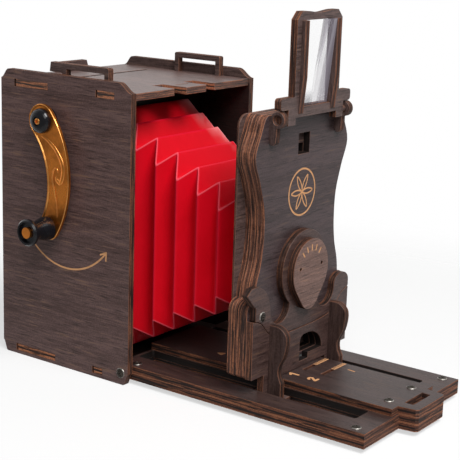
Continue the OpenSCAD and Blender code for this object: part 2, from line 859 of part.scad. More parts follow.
module bed_top_sheet() {
  color(stain) difference() {
    sheet_xy(bed_mid) bed_sheet_2d(0);
    hinge_holes();
  }
}

module bed_bottom_sheet() {
  color(stain) difference() {
    sheet_xy(bed_lift) bed_sheet_2d(slider_lip);
    hinge_holes();
  }
}

module scale_plate() {
  color(stain) sheet_xy(bed_top) difference() {
    tabbed_2d(plate_w / 2, bed_front + 0.8, bed_rear);
    for (i = [0, 1]) translate([mark_x, front - mark_one - i * mark_step]) square([mark_l, mark_w], true);
    plate_screw_places() circle(screw_r + seat_gap);
  }
}

module bed_screws() {
  color(steel) bed_screw_places() translate([0, 0, bed_top]) wood_screw(2 * ply - 0.6);
}

module plate_screws() {
  color(steel) plate_screw_places() translate([0, 0, plate_top]) wood_screw(3 * ply - 0.6);
}

module bed_hinge_screws() {
  color(steel) both_sides() translate([half_w, hinge_y, bed_mid]) rotate([0, 90, 0]) wood_screw(ply + 8, 2.2);
}

// Bellows

// Corner points of the fold at step i, drawn in by d
// Odd steps stand out at top and bottom, even ones at the sides
function fold_ring(i, y0, y1, d) =
  let (t = i / fold_faces, side = i % 2 == 0 ? fold_depth : 0,
    w = bellows_rear_w + (bellows_front_w - bellows_rear_w) * t + side - d,
    h = bellows_rear_h + (bellows_front_h - bellows_rear_h) * t - side - d,
    y = y0 + (y1 - y0) * t)
  [[-w, y, bellows_z - h], [w, y, bellows_z - h], [w, y, bellows_z + h], [-w, y, bellows_z + h]];

module bellows() {
  y0 = front + gate_in;
  y1 = std_y + bellows_frame_t + 0.05;
  n = fold_faces;
  inner = 4 * (n + 1);
  points = [for (d = [0, bellows_t], i = [0:n]) each fold_ring(i, y0, y1, d)];
  function skin(o, flip) = [for (i = [0:n - 1], j = [0:3])
    let (a = o + 4 * i + j, b = o + 4 * i + (j + 1) % 4, c = b + 4, e = a + 4)
    each flip ? [[a, c, b], [a, e, c]] : [[a, b, c], [a, c, e]]];
  function rim(o, flip) = [for (j = [0:3])
    let (a = o + j, b = o + (j + 1) % 4, c = b + inner, e = a + inner)
    each flip ? [[a, c, b], [a, e, c]] : [[a, b, c], [a, c, e]]];
  color(red) polyhedron(points, concat(skin(0, false), skin(inner, true), rim(0, true), rim(4 * n, false)));
}

// Standard

// Right half of the board's outline, from its top down to its foot
function board_side() = concat(
  curve([[bulge_w - 7.4, board_top], [bulge_w - 5.6, board_top - 1.6], [bulge_w - 3.6, board_top - 6.4],
    [bulge_w, board_top - 15.8], [bulge_w - 3.8, board_top - 25.8], [waist_w + 0.5, waist_z + 11],
    [waist_w, waist_z], [waist_w + 1.2, waist_z - 10], [waist_w + 3.9, hip_z + 6.2],
    [waist_w + 4.9, hip_z + 0.3]]),
  arc([hip_w - shoulder_r, hip_z - shoulder_r], shoulder_r, 90, 0, 6),
  [[hip_w, skirt_z + 1], [hip_w - 1, skirt_z]]);

// Sheet of the board, with a keeper that fills part of the catch hole or without one
module board_2d(keeper = false) {
  low = board_top - 17.6;
  high = board_top - 9.2;
  step = high - keeper_h;
  difference() {
    polygon(concat(board_side(), mirrored(board_side())));
    polygon(concat([[-catch_half, high], [-catch_half, low], [catch_half, low]], keeper
      ? [[catch_half, step], [catch_half - keeper_w, step], [catch_half - keeper_w, high]]
      : [[catch_half, high]]));
    translate([-std_screw_x, std_screw_z]) circle(screw_r + seat_gap);
  }
}

// Way of the light from the pinhole into the bellows
module light_well_2d() {
  half_h = bellows_front_h - well_margin;
  box_2d(-well_half, well_half, bellows_z - half_h, bellows_z + half_h);
}

module board_sheet(i) {
  sheet_xz(std_y - i * ply) difference() {
    board_2d(i == 1);
    light_well_2d();
  }
}

// The apron's window where it goes on into the board
module board_window() {
  sheet_xz(std_y - ply, 2 * ply + 1) intersection() {
    apron_window_2d();
    box_2d(-hip_w, hip_w, skirt_z + 1.5, pinhole_z);
  }
}

module board_rear_sheet() {
  color(stain) board_sheet(0);
}

module board_middle_sheet() {
  color(stain) difference() {
    board_sheet(1);
    board_window();
  }
}

module board_front_sheet() {
  color(stain) difference() {
    sheet_xz(std_y - 2 * ply) difference() {
      board_2d();
      translate([0, pinhole_z]) circle(ring_bore);
      both_sides() box_2d(eye_x - tenon_gap, eye_x + ply + tenon_gap,
        finder_z - 8 - tenon_gap, finder_z - 2 + tenon_gap);
    }
    rod_y(0, board_face - 1, board_face + pinhole_plate_t, pinhole_z, pinhole_plate_r + seat_gap);
    board_window();
  }
}

module bellows_frame() {
  color(dark_ply) sheet_xz(std_y + bellows_frame_t, bellows_frame_t) difference() {
    round_box_2d(-bellows_frame_w, bellows_frame_w, bellows_frame_z, board_top, bellows_frame_r);
    light_well_2d();
  }
}

// Line where the anchor sheet meets the apron below it
function seam(lift) = let (end = seam_end + lift, low = seam_middle + lift,
  half = curve([[anchor_w + 2, end], [anchor_w - 4, end - 2], [anchor_w - 10.6, low + 2],
    [anchor_w - 21.4, low + 0.2], [0, low]], 4))
  concat(half, [for (i = [len(half) - 2:-1:0]) [-half[i][0], half[i][1]]]);

// Window in the apron, deep at its left end, with an arched top that falls off to the right
module apron_window_2d() {
  low = apron_z + 2.4;
  sill = apron_z + 4.8;
  top = plate_top + apron_window_h;
  deep_x = apron_window_x + apron_window_deep;
  arch_x = apron_window_x + apron_window_w - apron_window_arch;
  polygon(concat([[apron_window_x, low], [deep_x, low], [deep_x, sill]],
    [for (a = [0:10:90]) [arch_x + apron_window_arch * cos(a), sill + (top - sill) * sin(a)]],
    arc([apron_window_x + 3, top - 3], 3, 90, 180, 4)));
}

module apron_sheet() {
  foot = [[leg_in, apron_z], [leg_in, slider_top], [leg_out, slider_top], [leg_out, skirt_z],
    [hip_w + 9, skirt_z]];
  color(stain) sheet_xz(board_face) difference() {
    intersection() {
      polygon(concat(mirrored(foot), foot, seam(0)));
      box_2d(-hip_w, hip_w, 0, pinhole_z);
    }
    apron_window_2d();
  }
}

// Outline of the left fluke, from the fork up, over the top to the beak and down to the anchor's arm
function left_fluke() = concat(
  curve([[-fork_x - fork_r, fluke_z], [-fork_x - fork_r - 1.8, (fluke_z + fluke_left) / 2],
    [-anchor_w + 4.8, fluke_left - 1.8], [-anchor_w + 0.8, fluke_left], [-anchor_w - 3.2, fluke_left]], 4),
  [[-anchor_w - beak_out, fluke_left - 2.4], [-anchor_w - 1.4, fluke_left - 7.4],
    [-anchor_w, fluke_left - 8.4]]);

module anchor_2d() {
  neck_a = acos((fork_x - fork_r) / ring_r);
  difference() {
    intersection() {
      polygon(concat(seam(kerf), [[-60, 38], [-60, 90], [60, 90], [60, 38]]));
      polygon(concat(
        [[hip_w, skirt_z]],
        [for (a = [0:15:180]) [fluke_x + fluke_r * cos(a), fluke_z + (fluke_right - fluke_z) * sin(a)]],
        arc([fork_x, fork_z], fork_r, 360, 180),
        arc([0, pinhole_z], ring_r, -neck_a, 180 + neck_a, 48),
        arc([-fork_x, fork_z], fork_r, 360, 180), left_fluke(), [[-anchor_w, skirt_z]]));
    }
    translate([0, pinhole_z]) circle(ring_bore);
    translate([0, lever_pivot_z]) circle(peg_r + run_gap);
    translate([-std_screw_x, std_screw_z]) circle(screw_r + seat_gap);
  }
}

module anchor_sheet() {
  color(stain) sheet_xz(board_face) anchor_2d();
}

module gusset() {
  b = gusset_bulge;
  bow = [for (p = [[0.3, 1], [b * 0.55, 0.995], [b * 0.92, 0.93], [b, 0.82], [b * 0.86, 0.66],
    [b * 0.6, 0.53], [b * 0.58, 0.43], [b * 0.76, 0.33]]) [apron_face - p[0], p[1] * gusset_h]];
  sheet_yz(gusset_x) polygon(concat([[apron_face, slider_top], [apron_face, gusset_h]], curve(bow, 4),
    [[apron_face - b * 0.76, slider_top]]));
}

module right_gusset() {
  color(stain) gusset();
}

module left_gusset() {
  color(stain) mirror([1, 0, 0]) gusset();
}

module sliders() {
  color(dark_ply) both_sides() sheet_xy(slider_top - slider_t, slider_t)
    box_2d(slot_in - slider_lip + 0.5, slot_out + slider_lip - 0.5,
      apron_face - slider_front, apron_face + slider_rear);
}

module standard_screws() {
  color(steel) translate([-std_screw_x, apron_face, std_screw_z]) rotate([90, 0, 0])
    wood_screw(4 * ply - 0.6);
}

module pinhole_plate() {
  color(gilt) difference() {
    rod_y(0, board_face, board_face + pinhole_plate_t, pinhole_z, pinhole_plate_r);
    rod_y(0, board_face - 1, board_face + 1, pinhole_z, pinhole_r);
  }
}

// Shutter

module shutter_lever() {
  tilt = asin((lever_r - lever_tail_r) / lever_tail);
  color(stain) difference() {
    sheet_xz(apron_face - lever_gap) translate([0, pinhole_z]) difference() {
      polygon(concat(arc([0, 0], lever_r, -tilt, 180 + tilt, 48),
        arc([0, -lever_tail], lever_tail_r, 180 + tilt, 360 - tilt)));
      for (x = [-7.7, 7.7]) translate([x, 1.4]) circle(0.7);
    }
    rod_y(0, apron_face - lever_gap - 1.6, apron_face, lever_pivot_z, peg_r + seat_gap);
  }
}

module shutter_peg() {
  color(steel) rod_y(0, apron_face - lever_gap - 1.6, apron_face + ply - 0.2, lever_pivot_z, peg_r);
}

// Finder

module finder_eye() {
  tip = -9.9;
  difference() {
    sheet_yz(eye_x) {
      intersection() {
        union() {
          translate([finder_y, finder_z]) circle(eye_r);
          translate([board_face, finder_z]) polygon([[0, 1.4], [-eye_leg, 1.4], [-eye_leg, tip + 3.6],
            [-eye_leg * 0.9, tip + 1], [-eye_leg * 0.65, tip], [-eye_leg * 0.25, tip], [0, tip + 1]]);
        }
        box_2d(finder_y - 2 * eye_r, board_face, finder_z + tip - 1, finder_z + 2 * eye_r);
      }
      box_2d(board_face - 0.1, board_face + ply - 0.1, finder_z - 8, finder_z - 2);
    }
    rod_x(eye_x - 1, eye_x + ply + 1, finder_y, finder_z, ply / 2 + run_gap);
    rod_x(eye_x + ply - eye_dish, eye_x + ply + 1, finder_y, finder_z, ply / 2 + 0.5);
  }
}

module right_finder_eye() {
  color(stain) finder_eye();
}

module left_finder_eye() {
  color(stain) mirror([1, 0, 0]) finder_eye();
}

// Frame of the finder, with its pivot at the origin
module finder_2d() {
  chamfer = 3.1;
  dip = 0.8;
  difference() {
    union() {
      polygon(concat([[-finder_half, 0], [finder_half, 0], [finder_half, finder_h - chamfer],
        [finder_half - chamfer, finder_h]],
        [for (x = [finder_half - 6:-2:6 - finder_half])
          [x, finder_h - dip * (1 + cos(180 * x / (finder_half - 6))) / 2]],
        [[chamfer - finder_half, finder_h], [-finder_half, finder_h - chamfer]]));
      round_box_2d(-eye_x - ply, eye_x + ply, lug_z, lug_z + lug_h, 1.4);
      both_sides() box_2d(foot_in, foot_out, -2.7, lug_z + 1);
    }
    box_2d(-window_half, window_half, sill_z, lintel_z);
    box_2d(-foot_in, foot_in, -3, -0.4);
  }
}

module finder_frame() {
  color(stain) {
    translate([0, 0, finder_z]) sheet_xz(finder_y + ply / 2) finder_2d();
    both_sides() rod_x(foot_out - 0.1, eye_x + ply - eye_dish - 0.2, finder_y, finder_z, ply / 2);
  }
}

module finder_blade() {
  face = finder_y - ply / 2;
  sheet_yz(blade_in) translate([0, finder_z])
    polygon([[face, 1.4], [face - 0.3, 1.4], [face - blade_out, 1.4 + blade_taper],
      [face - blade_out, lintel_z], [face + ply, lintel_z], [face + ply, sill_z], [face, sill_z]]);
}

module right_finder_blade() {
  color(stain) finder_blade();
}

module left_finder_blade() {
  color(stain) mirror([1, 0, 0]) finder_blade();
}

// Lens between the blades, leaning from the back of the frame at its foot to their front edges at its top
module finder_lens() {
  rear = finder_y + ply / 2 - lens_inset;
  tip = finder_y - ply / 2 - blade_out + lens_inset;
  color("#dfe6f2", 0.4) sheet_yz(-blade_in, 2 * blade_in) translate([0, finder_z])
    polygon([[rear - lens_t, sill_z], [rear, sill_z], [tip + lens_t, lintel_z], [tip, lintel_z]]);
}

left_side_panel();
right_side_panel();
top_panel();
bottom_panel();
rear_door();
left_strap_loop();
right_strap_loop();
bellows_gate();
film_mask();
film_pack();
pack_rails();
left_roller_plate();
right_roller_plate();
shaft_bush();
tripod_bush();
crank_shaft();
drive_roller();
drive_gear();
hub_spacer();
crank_arm();
hub_cap();
hub_screw();
knob_axle();
crank_knob();
pressure_shaft();
pressure_roller();
pressure_gear();
bed_top_sheet();
bed_bottom_sheet();
scale_plate();
bed_screws();
plate_screws();
bed_hinge_screws();
bellows();
bellows_frame();
board_rear_sheet();
board_middle_sheet();
board_front_sheet();
apron_sheet();
anchor_sheet();
left_gusset();
right_gusset();
sliders();
standard_screws();
pinhole_plate();
left_finder_eye();
right_finder_eye();
shutter_lever();
shutter_peg();
finder_frame();
left_finder_blade();
right_finder_blade();
finder_lens();
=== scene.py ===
"""Looks of the folding pinhole camera: stained plywood with scorched edges and engraved marks, the red
bellows, gilt and black crank pieces, screws, the finder's lens, and the white studio that it stands in."""

import math

import bpy
import numpy as np
from mathutils import Matrix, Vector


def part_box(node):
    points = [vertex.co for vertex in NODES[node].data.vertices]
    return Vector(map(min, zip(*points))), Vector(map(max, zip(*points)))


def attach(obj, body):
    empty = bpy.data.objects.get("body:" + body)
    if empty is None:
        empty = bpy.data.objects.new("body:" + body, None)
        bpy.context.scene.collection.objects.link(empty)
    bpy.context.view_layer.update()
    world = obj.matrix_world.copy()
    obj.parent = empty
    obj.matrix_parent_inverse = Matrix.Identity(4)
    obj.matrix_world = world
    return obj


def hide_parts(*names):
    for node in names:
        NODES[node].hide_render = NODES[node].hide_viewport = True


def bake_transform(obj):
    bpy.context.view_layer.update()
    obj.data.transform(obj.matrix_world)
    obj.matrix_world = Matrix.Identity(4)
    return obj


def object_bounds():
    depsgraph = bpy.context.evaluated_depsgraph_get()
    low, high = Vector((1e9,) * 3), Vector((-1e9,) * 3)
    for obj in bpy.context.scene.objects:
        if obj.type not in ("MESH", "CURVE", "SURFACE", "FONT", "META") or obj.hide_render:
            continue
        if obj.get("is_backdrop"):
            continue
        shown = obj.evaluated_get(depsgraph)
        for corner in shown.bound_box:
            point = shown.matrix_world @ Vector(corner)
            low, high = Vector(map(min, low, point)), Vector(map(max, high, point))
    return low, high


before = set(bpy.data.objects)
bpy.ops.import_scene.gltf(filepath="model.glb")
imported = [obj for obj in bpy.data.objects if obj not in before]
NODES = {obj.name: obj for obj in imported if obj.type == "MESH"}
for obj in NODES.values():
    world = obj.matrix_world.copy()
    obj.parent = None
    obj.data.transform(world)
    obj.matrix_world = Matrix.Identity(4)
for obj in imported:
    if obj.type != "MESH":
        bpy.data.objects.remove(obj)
CAD_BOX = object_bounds()

bl_info = {
    "name": "Folding Pinhole Camera",
    "version": (1, 0, 0),
    "blender": (4, 5, 0),
    "location": "3D View > Sidebar > Pinhole",
    "description": "Finishes, bellows and studio for the plywood pinhole camera",
    "category": "Object",
}

MM = 0.001


# Materials


class Tone:
    """A number, colour or vector on its way through a material. Arithmetic on numbers adds Math nodes."""

    def __init__(self, tree, socket):
        self.tree = tree
        self.socket = socket

    def node(self, kind, settings=None, sockets=None, out=0):
        """Adds a node with its settings and the values or links of its sockets, and returns an output."""
        made = self.tree.nodes.new(kind)
        for name, value in (settings or {}).items():
            if name == "stops":
                elements = made.color_ramp.elements
                elements[0].position, elements[0].color = value[0]
                elements[-1].position, elements[-1].color = value[-1]
                for place, colour in value[1:-1]:
                    elements.new(place).color = colour
            else:
                setattr(made, name, value)
        for key, value in (sockets or {}).items():
            if isinstance(value, Tone):
                self.tree.links.new(value.socket, made.inputs[key])
            else:
                made.inputs[key].default_value = value
        if isinstance(out, (list, tuple)):
            return [Tone(self.tree, made.outputs[o]) for o in out]
        return Tone(self.tree, made.outputs[out])

    def _math(self, operation, *values):
        return self.node("ShaderNodeMath", {"operation": operation}, dict(enumerate(values)))

    def __add__(self, other):
        return self._math("ADD", self, other)

    __radd__ = __add__

    def __sub__(self, other):
        return self._math("SUBTRACT", self, other)

    def __rsub__(self, other):
        return self._math("SUBTRACT", other, self)

    def __mul__(self, other):
        return self._math("MULTIPLY", self, other)

    __rmul__ = __mul__

    def __truediv__(self, other):
        return self._math("DIVIDE", self, other)

    def __pow__(self, other):
        return self._math("POWER", self, other)

    def __abs__(self):
        return self._math("ABSOLUTE", self)


def most(a, b):
    """The larger of two values."""
    return a.node("ShaderNodeMath", {"operation": "MAXIMUM"}, {0: a, 1: b})


def rise(value, start, end):
    """0 before start, 1 after end, with a smooth step between them."""
    kind = {"interpolation_type": "SMOOTHSTEP"}
    return value.node("ShaderNodeMapRange", kind, {"Value": value, "From Min": start, "From Max": end})


def within(value, start, end, soft):
    """1 between start and end, 0 outside, with soft ends."""
    return rise(value, start - soft, start + soft) * (1.0 - rise(value, end - soft, end + soft))


def mix(share, a, b):
    """Colour a with the given share of colour b laid over it."""
    tone = next(t for t in (share, a, b) if isinstance(t, Tone))
    first, second = (c if isinstance(c, Tone) else (*c, 1.0) for c in (a, b))
    sockets = {0: share, 6: first, 7: second}
    return tone.node("ShaderNodeMix", {"data_type": "RGBA"}, sockets, out=2)


def noise(place, scale, detail=3.0, rough=0.6, shift=0.0):
    """Noise that is stretched by its own scale along X, Y and Z, in waves per metre."""
    move = (shift, 1.7 * shift, -0.6 * shift)
    spot = place.node("ShaderNodeVectorMath", {"operation": "MULTIPLY_ADD"}, {0: place, 1: scale, 2: move})
    sockets = {"Vector": spot, "Scale": 1.0, "Detail": detail, "Roughness": rough}
    return spot.node("ShaderNodeTexNoise", {}, sockets)


def ramp(value, stops):
    """Colours from a list of places and colours, with straight steps between them."""
    stops = [(place, (*colour, 1.0)) for place, colour in stops]
    return value.node("ShaderNodeValToRGB", {"stops": stops}, {0: value})


def scaled(colour, by):
    """A colour made lighter or darker by a number, or by three of them."""
    by = by if isinstance(by, tuple) else (by, by, by)
    return tuple(c * b for c, b in zip(colour, by))


def axes(vector):
    """X, Y and Z of a vector."""
    return vector.node("ShaderNodeSeparateXYZ", {}, {0: vector}, out=(0, 1, 2))


def start_material(name):
    """A new material with a Principled shader. Returns it with its shader, Object place and Normal."""
    material = bpy.data.materials.new(name)
    material.use_nodes = True
    tree = material.node_tree
    tree.nodes.clear()
    shader = tree.nodes.new("ShaderNodeBsdfPrincipled")
    output = tree.nodes.new("ShaderNodeOutputMaterial")
    tree.links.new(shader.outputs[0], output.inputs["Surface"])
    where = tree.nodes.new("ShaderNodeTexCoord")
    return material, shader, Tone(tree, where.outputs["Object"]), Tone(tree, where.outputs["Normal"])


def feed(shader, values):
    """Links or sets the shader's sockets."""
    for key, value in values.items():
        if isinstance(value, Tone):
            value.tree.links.new(value.socket, shader.inputs[key])
        else:
            shader.inputs[key].default_value = (*value, 1.0) if isinstance(value, tuple) else value


def relief(height):
    """Surface normal of a height in metres."""
    return height.node("ShaderNodeBump", {}, {"Height": height, "Strength": 1.0, "Distance": 1.0})


def wear(material, node):
    """Gives a CAD node its material."""
    for slot in NODES[node].material_slots:
        slot.link = "OBJECT"
        slot.material = material


# Marks engraved in the wood, as masks of two coordinates in metres


def line_mask(distance, width):
    """1 within half a width of a line, from the distance to it."""
    soft = 0.07 * MM
    return 1.0 - rise(distance, width / 2 - soft, width / 2 + soft)


def stroke(u, v, a, b, width):
    """Straight stroke from a to b: the distance from the nearest point of the segment."""
    du, dv = b[0] - a[0], b[1] - a[1]
    pu, pv = u - a[0], v - a[1]
    run = (pu * du + pv * dv) / (du * du + dv * dv)
    run = run.node("ShaderNodeClamp", {}, {0: run})
    return line_mask(((pu - run * du) ** 2.0 + (pv - run * dv) ** 2.0) ** 0.5, width)


def strokes(u, v, points, width):
    """A row of joined strokes."""
    mask = stroke(u, v, points[0], points[1], width)
    for a, b in zip(points[1:-1], points[2:]):
        mask = most(mask, stroke(u, v, a, b, width))
    return mask


def shifted(points, u, v, size=1.0):
    """Points in millimetres, moved to u, v, in metres."""
    return [((p * size + u) * MM, (q * size + v) * MM) for p, q in points]


def polar(u, v, centre):
    """Distance and angle of a place about a centre."""
    du, dv = u - centre[0], v - centre[1]
    return (du * du + dv * dv) ** 0.5, dv.node("ShaderNodeMath", {"operation": "ARCTAN2"}, {0: dv, 1: du})


def turning_arrow(xyz):
    """Arc under the crank with a barbed tip, on the left side panel's outer face."""
    _, u, v = xyz
    centre, radius = (-2.1 * MM, 71.8 * MM), 27.5 * MM
    start, end = math.radians(-47), math.radians(-142)
    width, barb_length = 0.8 * MM, 3.4 * MM
    far, angle = polar(u, v, centre)
    mask = line_mask(abs(far - radius), width) * within(angle, end, start, 0.005)
    tip = (centre[0] + radius * math.cos(end), centre[1] + radius * math.sin(end))
    back = end + math.pi / 2
    for turn in (-0.62, 0.5):
        barb = (tip[0] + barb_length * math.cos(back + turn), tip[1] + barb_length * math.sin(back + turn))
        mask = most(mask, stroke(u, v, tip, barb, width))
    return mask


def rosette(xyz):
    """Six-petalled rosette in a ring, drawn with circles of one radius, on the front board."""
    u, _, v = xyz
    radius, height = 9.4 * MM, 84.2 * MM
    ring_width, petal_width, soft = 0.75 * MM, 0.6 * MM, 0.1 * MM
    far, angle = polar(u, v, (0.0, height))
    ring = line_mask(abs(far - radius), ring_width)
    turn = math.pi / 3
    fold = angle.node("ShaderNodeMath", {"operation": "PINGPONG"}, {0: angle + math.pi, 1: turn / 2})
    fu = far * fold.node("ShaderNodeMath", {"operation": "COSINE"}, {0: fold})
    fv = far * fold.node("ShaderNodeMath", {"operation": "SINE"}, {0: fold})
    small = radius * 0.82
    reach = ((fu - 0.5 * small) ** 2.0 + (fv + 0.866 * small) ** 2.0) ** 0.5
    petals = line_mask(abs(reach - small), petal_width) * (1.0 - rise(far, small - soft, small + soft))
    return most(ring, petals)


def scale_marks(xyz):
    """Plain numbers and rows of ticks beside the focus slits of the scale plate."""
    u, v, _ = xyz
    bold, fine = 1.15 * MM, 0.75 * MM
    one = strokes(u, v, shifted([(-1.2, 0.8), (0.2, 1.8), (0.2, -1.9)], -8.6, -96.3), bold)
    curl = [(-1.2, 1.0), (-0.5, 1.8), (0.6, 1.7), (1.0, 0.9), (-1.2, -1.8), (1.2, -1.8)]
    mask = most(one, strokes(u, v, shifted(curl, -8.4, -105.2), bold))
    pitch = u.node("ShaderNodeMath", {"operation": "PINGPONG"}, {0: u, 1: 0.6 * MM})
    ticks = line_mask(pitch, 0.62 * MM)
    left, right = 7.4 * MM, 16.0 * MM
    for y in (-96.5 * MM, -105.2 * MM):
        line = y - 0.7 * MM
        row = stroke(u, v, (left, y), (right, y), 1.9 * MM)
        foot = stroke(u, v, (left, line), (right, line), 0.5 * MM)
        mask = most(mask, most(row * ticks, foot))
    mask = most(mask, stroke(u, v, (10.6 * MM, -110.4 * MM), (10.2 * MM, -113.4 * MM), fine))
    mark = [(-1.1, -1.0), (1.1, -1.0), (0.0, 1.0), (-1.1, -1.0)]
    return most(mask, strokes(u, v, shifted(mark, -8.0, -59.0), bold))


def dial_ticks(xyz):
    """Five short ticks round the upper part of the shutter lever's disc."""
    u, _, v = xyz
    height, inner, outer, width = 53.2, 8.2, 10.2, 0.7 * MM
    mask = None
    for degrees in (50, 70, 90, 110, 130):
        a = math.radians(degrees)
        ends = [(r * MM * math.cos(a), (height + r * math.sin(a)) * MM) for r in (inner, outer)]
        tick = stroke(u, v, *ends, width)
        mask = tick if mask is None else most(mask, tick)
    return mask


def plywood(name, axis, along, look):
    """Stained plywood sheet: streaked faces across the axis, scorched plies on the edges, engraved marks.
    On the edges along the grain the outer plies show amber fibres and the core is black. Edges across the
    grain are greyer, with thin glue lines. Faces that look into the box, and the walls of some openings,
    get painted shade, near black. Tenon ends get painted light, and the rounded corners a lighter colour
    that is partly wear and partly a painted highlight."""
    low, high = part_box(name)
    thick = float(high[axis] - low[axis])
    material, shader, place, facing = start_material("plywood_" + name)
    xyz, normal = axes(place), axes(facing)
    across = abs(normal[axis])
    edge = 1.0 - rise(across, 0.35, 0.6)
    arris = within(across, 0.42, 0.9, 0.08)
    shift = sum(map(ord, name)) % 37

    def streaks(run, wide, **more):
        scale = [wide, wide, wide]
        scale[along] = run
        return noise(place, tuple(scale), shift=shift, **more)

    fine = streaks(70.0, 1000.0, detail=4.0, rough=0.7)
    band = streaks(10.0, 150.0)
    pore = streaks(130.0, 2300.0, detail=1.0)
    tooth = noise(place, (1500.0, 1500.0, 1500.0), detail=2.0)
    tone = 0.5 + (fine - 0.5) * 2.6 + (band - 0.5) * 1.4 + (tooth - 0.5) * 1.6
    # Each sheet's stain, with painted light and shade laid on many of the sheets
    tint_and_shade = STAIN_AND_SHADE.get(name, (1.0, 1.0, 1.0))
    stain, bloom, fleck = (scaled(c, tint_and_shade) for c in (look.stain, look.bloom, look.fleck))
    face = mix(rise(tone, -0.1, 1.1), stain, bloom)
    face = mix(rise(fine, 0.56, 0.7) * 0.6, face, fleck)
    face = mix(rise(pore, 0.56, 0.7) * 0.65, face, scaled(stain, 0.3))

    # Edge tone: partly the wood's own, partly painted light and shade
    edge_tone_and_light = EDGE_TONE_AND_LIGHT.get(name, 1.0)
    char, core, brown, amber = (scaled(c, edge_tone_and_light) for c in (look.char, look.core, look.ply, look.amber))
    through = [70.0, 70.0, 70.0]
    through[axis] = 1500.0
    fibre = noise(place, tuple(through), detail=4.0, rough=0.65, shift=shift)
    wander = noise(place, (70.0, 70.0, 70.0), shift=shift)
    depth = (xyz[axis] - float(low[axis])) / thick + (wander - 0.5) * 0.14
    long_edge = ramp(depth, [
        (0.0, char), (0.05, amber), (0.13, brown), (0.37, brown), (0.42, char), (0.58, char),
        (0.63, brown), (0.87, brown), (0.95, amber), (1.0, char),
    ])
    end_edge = ramp(depth, [
        (0.0, char), (0.05, amber), (0.11, brown), (0.2, core), (0.29, brown), (0.34, char),
        (0.39, amber), (0.44, core), (0.56, core), (0.61, brown), (0.66, char), (0.72, brown),
        (0.8, core), (0.89, brown), (0.95, amber), (1.0, char),
    ])
    plies = mix(rise(abs(normal[along]), 0.45, 0.75), long_edge, end_edge)
    if name in LIT_TENONS:
        # Painted light on the recessed tenon ends
        tenon_light = rise(abs(normal[X]), 0.6, 0.9) * rise(abs(depth - 0.5), 0.08, 0.14)
        plies = mix(tenon_light * 0.75, plies, amber)
    plies = mix(rise(fibre, 0.51, 0.58) * 0.9, plies, char)
    plies = mix((1.0 - rise(fibre, 0.34, 0.44)) * 0.5, plies, amber)
    plies = mix(rise(tooth, 0.5, 0.62) * 0.4, plies, char)
    colour = mix(edge, face, plies)
    # Lighter rounded corners: partly worn edges, partly a painted highlight
    colour = mix(arris * rise(fibre, 0.35, 0.6) * 0.45, colour, scaled(look.rim_wear_and_highlight, edge_tone_and_light))
    if name in INSIDE_SHADE:
        roof = float(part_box("top_panel")[0][2])
        below = 1.0 - rise(xyz[2], roof + 0.5 * MM, roof + 1.5 * MM)
        # Painted shade: faces that look into the box turn near black below the top panel
        colour = mix(rise(normal[axis] * INSIDE_SHADE[name], 0.5, 0.9) * below * 0.9, colour, look.char)
    u, v = (xyz[k] for k in range(3) if k != axis)
    soft = 0.1 * MM
    for u0, u1, v0, v1 in SHADED_OPENINGS.get(name, ()):
        pit_shade = within(u, u0 * MM, u1 * MM, soft) * within(v, v0 * MM, v1 * MM, soft)
        # Painted shade on the walls of openings and slots
        colour = mix(pit_shade * edge * 0.96, colour, scaled(look.char, 0.4))
    height = (fine - 0.5) * (0.05 * MM) - rise(pore, 0.58, 0.72) * (0.03 * MM)
    rough = 0.44 + (fine - 0.5) * 0.2 + edge * 0.25
    if name in MARKS:
        marks, outward = MARKS[name]
        mask = marks(xyz) * rise(normal[axis] * outward, 0.5, 0.9)
        raw = mix(rise(fine, 0.35, 0.7), look.engraved, scaled(look.engraved, 0.72))
        colour = mix(mask, colour, raw)
        height = height - mask * (0.12 * MM)
        rough = rough + mask * 0.2
    feed(shader, {"Base Color": colour, "Roughness": rough, "Normal": relief(height)})
    shader.inputs["Specular IOR Level"].default_value = look.sheen * GLOSS.get(name, 1.0)
    return material


def gilt(name, look, shade=1.0):
    """Satin gilt metal: lacquered, slightly cloudy, lighter along its corners as a painted highlight."""
    material, shader, place, facing = start_material(name)
    cloud = noise(place, (110.0, 110.0, 110.0), detail=4.0)
    brush = noise(place, (1500.0, 900.0, 240.0), detail=2.0)
    colour = mix(rise(cloud, 0.35, 0.7), scaled(look.gilt, shade), scaled(look.gilt_deep, shade))
    arris = within(abs(axes(facing)[0]), 0.35, 0.93, 0.06)
    # Painted highlight along the corners of the metal
    colour = mix(arris * 0.38, colour, look.gilt_highlight)
    rough = 0.3 + (cloud - 0.5) * 0.2 + (brush - 0.5) * 0.1
    bump = relief((brush - 0.5) * (0.008 * MM))
    feed(shader, {"Base Color": colour, "Metallic": 0.92, "Roughness": rough, "Normal": bump})
    return material


def black_gloss(name, look):
    """Polished black plastic with faint dust and fine scratches."""
    material, shader, place, _ = start_material(name)
    dust = noise(place, (900.0, 900.0, 900.0), detail=3.0)
    smear = noise(place, (70.0, 70.0, 70.0), detail=3.0)
    colour = mix(rise(dust, 0.6, 0.78) * 0.3, look.black, look.dust)
    rough = 0.17 + rise(smear, 0.4, 0.7) * 0.1 + rise(dust, 0.6, 0.78) * 0.2
    feed(shader, {"Base Color": colour, "Roughness": rough, "Specular IOR Level": 0.45})
    return material


def steel(name, look):
    """Turned steel: fine rings of polish and a little tarnish."""
    material, shader, place, _ = start_material(name)
    tarnish = noise(place, (260.0, 260.0, 260.0), detail=3.0)
    grain = noise(place, (2200.0, 2200.0, 2200.0), detail=2.0)
    colour = mix(rise(tarnish, 0.45, 0.72), look.steel, look.tarnish)
    rough = 0.26 + (tarnish - 0.5) * 0.25 + (grain - 0.5) * 0.1
    feed(shader, {"Base Color": colour, "Metallic": 1.0, "Roughness": rough})
    return material


